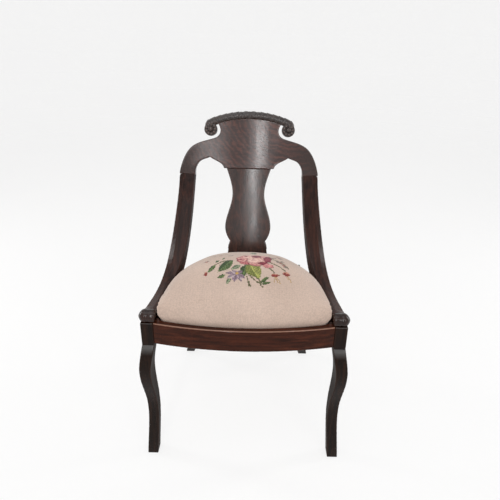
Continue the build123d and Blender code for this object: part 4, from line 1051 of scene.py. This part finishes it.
def swell(form, tackedIndex):
    form.vertex_groups.new(name="hem").add(tackedIndex, 1.0, "REPLACE")
    cloth = form.modifiers.new("cloth", "CLOTH")
    for setting, value in cushion["cloth"].items():
        setattr(cloth.settings, setting, value)
    cloth.settings.vertex_group_mass = "hem"
    cloth.settings.effector_weights.gravity = 0
    cloth.point_cache.frame_start = 1
    cloth.point_cache.frame_end = cushion["frames"]
    for step in range(1, cushion["frames"] + 1):
        bpy.context.scene.frame_set(step)
    shaped = form.evaluated_get(bpy.context.evaluated_depsgraph_get())
    rest = np.array([v.co for v in form.data.vertices])
    drift = np.array([v.co for v in shaped.data.vertices]) - rest
    wallShare = np.clip((rest[:, 2] - coverLow.z) / cushion["wallHeight"] - 0.5, 0, 1)
    near, far = cushion["frontSwell"]  # the front wall stays back from the rail's land
    allowed = np.where(rest[:, 1] < seatMiddle.y - cushion["frontY"], near + (far - near) * wallShare, far)
    drift[:, 1] = np.clip(drift[:, 1], -allowed, allowed)
    length = np.linalg.norm(drift, axis=1, keepdims=True)
    print("cloth moved up to", round(float(length.max()) * 1000, 1), "mm")
    capped = rest + drift * np.minimum(1.0, cushion["swellCap"] / np.maximum(length, 1e-9))
    form.modifiers.remove(cloth)
    form.data.vertices.foreach_set("co", capped.astype(np.float32).ravel())
    bpy.context.scene.frame_set(1)


def dyeStitches(mesh):
    # every face takes the colour of the stitch that its middle lies in
    uv = np.zeros(len(mesh.loops) * 2, np.float32)
    mesh.uv_layers["canvas"].data.foreach_get("uv", uv)
    middles = uv.reshape(-1, 4, 2).mean(axis=1)  # every face has four corners
    cell = np.floor(middles / stitching["pitch"]).astype(float)
    stray = np.stack([chanceOf(cell, 1), chanceOf(cell, 2)], axis=1) * stitching["stray"]
    places = (cell + 0.5) * stitching["pitch"] * 1000 + stray
    screen = drawBouquet(places[:, 0], places[:, 1])
    dyed = np.abs(screen - np.array(stitching["ground"])).max(axis=1) > stitching["dyedFrom"]
    screen[dyed] *= 1 + stitching["speckle"] * chanceOf(cell[dyed], 3)[:, None]
    linear = linearOf(np.clip(screen, 0, 255))
    rgba = np.concatenate([linear, np.ones((len(linear), 1))], axis=1)
    attribute = mesh.color_attributes.new("stitchColour", "FLOAT_COLOR", "CORNER")
    attribute.data.foreach_set("color", np.repeat(rgba, 4, axis=0).astype(np.float32).ravel())


def addSeatCover():
    baseMesh, tackedIndex = coverBase()
    form = addObject("coverForm", baseMesh)
    swell(form, tackedIndex)
    divide = form.modifiers.new("stitches", "SUBSURF")
    divide.levels = divide.render_levels = 1
    mesh = bakedMesh(form)
    dyeStitches(mesh)
    cover = addPiece("needlepointSeat", mesh, needlepoint(), "slip_seat", "needlepoint",
                     "seat_cover", "seat_stuffing")
    thicken(cover, cushion["thick"], -1)
    return cover


seatCover = addSeatCover()
print("needlepoint seat made,", len(seatCover.data.polygons), "stitch faces")


# under the stuffing: straps woven over and under, and a coarse cloth that sags into the gaps between them

strap = {"width": 0.046, "pitch": 0.076, "thick": 0.0013, "lift": 0.00085, "turn": (0.33, 0.67), "across": 10,
         "along": 150}
sacking = {"columns": 88, "rows": 70, "thick": 0.0008, "sag": 0.0013, "open": (0.023, 0.034),
           "closed": (0.112, 0.126)}
longLow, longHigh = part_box("webbing_long")
crossLow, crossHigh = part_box("webbing_cross")
strapMiddle = Vector((0, (crossLow.y + crossHigh.y) / 2, (longLow.z + crossHigh.z) / 2))


def strapHeight(gone, over):
    # over one crossing strap and under the next, and down on the frame past the last one
    knots = [-1, -1, -over, over, -over, -1, -1]
    step = gone / strap["pitch"] + 3
    number = min(5, max(0, math.floor(step)))
    bend = rise(step - number, *strap["turn"])
    return strap["lift"] * (knots[number] * (1 - bend) + knots[number + 1] * bend)


def addStrap(pieceName, nodeName, number, near, far, material):
    # near and far are the strap's ends, measured along it from the middle of the weave
    acrossSeat = nodeName == "webbing_cross"
    over = (-1) ** number * (-1 if acrossSeat else 1)
    bm = bmesh.new()
    bmesh.ops.create_grid(bm, x_segments=strap["across"], y_segments=strap["along"], size=0.5)
    for v in bm.verts:
        beside = number * strap["pitch"] + v.co.x * strap["width"]
        gone = (near + far) / 2 + v.co.y * (far - near)
        plan = (gone, beside) if acrossSeat else (beside, gone)
        v.co = strapMiddle + Vector((*plan, strapHeight(gone, over)))
    bmesh.ops.recalc_face_normals(bm, faces=bm.faces)
    made = addPiece(pieceName, meshFrom(bm, pieceName), material, "slip_seat", "webbing", nodeName)
    thicken(made, strap["thick"], 0)


def addStraps():
    crossEnds = [v.co.xy - strapMiddle.xy for v in nodes["webbing_cross"].data.vertices]
    front, rear = longLow.y - strapMiddle.y, longHigh.y - strapMiddle.y
    for number, place in ((-1, "left"), (0, "middle"), (1, "right")):
        addStrap(place + "LongStrap", "webbing_long", number, front, rear, longWeb)
    for number, place in ((-1, "front"), (0, "middle"), (1, "rear")):
        reach = min(abs(end.x) for end in crossEnds if abs(end.y - number * strap["pitch"]) < strap["width"])
        addStrap(place + "CrossStrap", "webbing_cross", number, -reach, reach, crossWeb)


def sagShare(gone):
    # one between two straps, nought over a strap and out on the frame
    off = abs((gone + strap["pitch"] / 2) % strap["pitch"] - strap["pitch"] / 2)
    return rise(off, *sacking["open"]) * (1 - rise(abs(gone), *sacking["closed"]))


def addSacking():
    low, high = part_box("hessian_sheet")
    middle = Vector((0, (low.y + high.y) / 2, (low.z + high.z) / 2))
    bm, spots = stretchedGrid(treeOf("hessian_sheet"), middle, sacking["columns"], sacking["rows"])
    for v, (*_, spot) in spots.items():
        v.co = (spot.x, spot.y, middle.z)
    area = sum(face.calc_area() for face in bm.faces)
    for v in bm.verts:
        v.co.z -= sacking["sag"] * sagShare(v.co.x) * sagShare(v.co.y - strapMiddle.y)
    bmesh.ops.recalc_face_normals(bm, faces=bm.faces)
    mesh = meshFrom(bm, "hessianSheet")
    made = addPiece("hessianSheet", mesh, hessian, "slip_seat", "webbing", "hessian_sheet")
    thicken(made, sacking["thick"], 0)


addStraps()
addSacking()
print("webbing woven and hessian laid")


# floor, light and camera

studio = {
    "floorRadius": 4.6, "sweep": 1.4, "sweepSteps": 8, "wall": 6.0, "opening": math.radians(100),
    "wallSteps": 64, "floorSteps": 90, "whiteShare": 0.8, "worldFill": 0.42, "patches": (0.6, 0.6, 0.6),
    "paper": ((0.3, tint(246, 245, 244)), (0.7, tint(250, 249, 248))), "paperRough": 0.95, "paperShine": 0.05,
    "aim": Vector((0, 0, 0.5)),
}
lamps = {  # place, size, power
    "window": ((-0.45, -3.0, 1.85), (0.22, 1.5), 22), "sheen": ((1.4, -2.5, 1.75), (0.9, 0.7), 11),
    "strip": ((0.0, -2.4, 2.6), (3.2, 0.12), 9), "top": ((-0.4, -0.5, 2.7), (1.9, 1.9), 13),
    "left": ((-2.4, 0.45, 1.25), (0.35, 1.8), 20), "right": ((2.4, 0.45, 1.25), (0.35, 1.8), 18),
}
photoView = {"eye": Vector((0.0200, -1.1102, 1.0357)), "yaw": -0.00972, "pitch": 0.43633, "roll": 0.01676,
             "focalPixels": 450, "framePixels": 500, "sensor": 36}


def seenDirectly(tree):
    # camera, glossy and clear rays all see the background's own white
    path = addNode(tree, "LightPath").outputs
    seen = mathOf(tree, "MAXIMUM", path["Is Camera Ray"], path["Is Glossy Ray"])
    return mathOf(tree, "MAXIMUM", seen, path["Is Transmission Ray"])


def paleFloor():
    material, tree, shader = startMaterial("paleFloor")
    paper = rampOf(tree, noiseOf(tree, objectCoords(tree, size=studio["patches"])), studio["paper"])
    setSockets(tree, shader, {"Base Color": paper, "Roughness": studio["paperRough"],
                              "Specular IOR Level": studio["paperShine"]})
    white = addNode(tree, "Emission", {"Color": (1, 1, 1, 1), "Strength": 1.0})
    share = mathOf(tree, "MULTIPLY", seenDirectly(tree), studio["whiteShare"])
    blend = addNode(tree, "MixShader", {0: share, 1: shader.outputs["BSDF"], 2: white.outputs["Emission"]})
    setSockets(tree, tree.nodes["Material Output"], {"Surface": blend.outputs["Shader"]})
    return material


def addFloor():
    bm = bmesh.new()
    radius, sweep = studio["floorRadius"], studio["sweep"]
    spots = [(0.0, 0.0), (radius, 0.0)]
    for step in range(1, studio["sweepSteps"] + 1):  # a wall sweeps up on every side but the camera's
        turn = math.pi / 2 * step / studio["sweepSteps"]
        spots.append((radius + sweep * math.sin(turn), sweep * (1 - math.cos(turn))))
    spots.append((radius + sweep, studio["wall"]))
    line = [bm.verts.new((reach, 0, z)) for reach, z in spots]
    floorEdge = bm.edges.new(line[:2])
    wallEdges = [bm.edges.new(pair) for pair in zip(line[1:], line[2:])]
    besideOpening = Matrix.Rotation(studio["opening"] / 2 - math.pi / 2, 3, "Z")
    bmesh.ops.rotate(bm, verts=line, cent=(0, 0, 0), matrix=besideOpening)
    bmesh.ops.spin(bm, geom=line[1:] + wallEdges, cent=(0, 0, 0), axis=(0, 0, 1), steps=studio["wallSteps"],
                   angle=2 * math.pi - studio["opening"])
    bmesh.ops.spin(bm, geom=line[:2] + [floorEdge], cent=(0, 0, 0), axis=(0, 0, 1), steps=studio["floorSteps"],
                   angle=2 * math.pi, use_merge=True)
    bmesh.ops.remove_doubles(bm, verts=bm.verts, dist=weld["floor"])
    bmesh.ops.recalc_face_normals(bm, faces=bm.faces)
    mesh = meshFrom(bm, "floor")
    mesh.materials.append(paleFloor())
    addObject("floor", mesh)


def addLamp(name, place, size, power):
    light = bpy.data.lights.new(name, "AREA")
    light.shape = "RECTANGLE"
    light.size, light.size_y = size
    light.energy = power
    lamp = addObject(name, light)
    lamp.location = place
    lamp.rotation_euler = (studio["aim"] - Vector(place)).to_track_quat("-Z", "Y").to_euler()


def addWorld():
    world = bpy.data.worlds.new("studio")
    bpy.context.scene.world = world
    world.use_nodes = True
    tree = world.node_tree
    white = mathOf(tree, "MULTIPLY", seenDirectly(tree), 1 - studio["worldFill"])
    strength = mathOf(tree, "ADD", white, studio["worldFill"])
    setSockets(tree, tree.nodes["Background"], {"Color": (1, 1, 1, 1), "Strength": strength})


def addCamera():
    yaw, pitch, tilt = photoView["yaw"], photoView["pitch"], photoView["roll"]
    forward = Vector((math.sin(yaw) * math.cos(pitch), math.cos(yaw) * math.cos(pitch), -math.sin(pitch)))
    level = Vector((math.cos(yaw), -math.sin(yaw), 0))
    upright = level.cross(forward)
    right = level * math.cos(tilt) + upright * math.sin(tilt)
    up = upright * math.cos(tilt) - level * math.sin(tilt)
    data = bpy.data.cameras.new("camera")
    data.sensor_width = photoView["sensor"]
    data.lens = data.sensor_width * photoView["focalPixels"] / photoView["framePixels"]
    camera = addObject("camera", data)
    turned = Matrix((right, up, -forward)).transposed().to_4x4()
    camera.matrix_world = Matrix.Translation(photoView["eye"]) @ turned
    bpy.context.scene.camera = camera


addFloor()
for lampName, lamp in lamps.items():
    addLamp(lampName, *lamp)
addWorld()
addCamera()
bpy.context.scene.view_settings.view_transform = "Standard"
print("studio set")
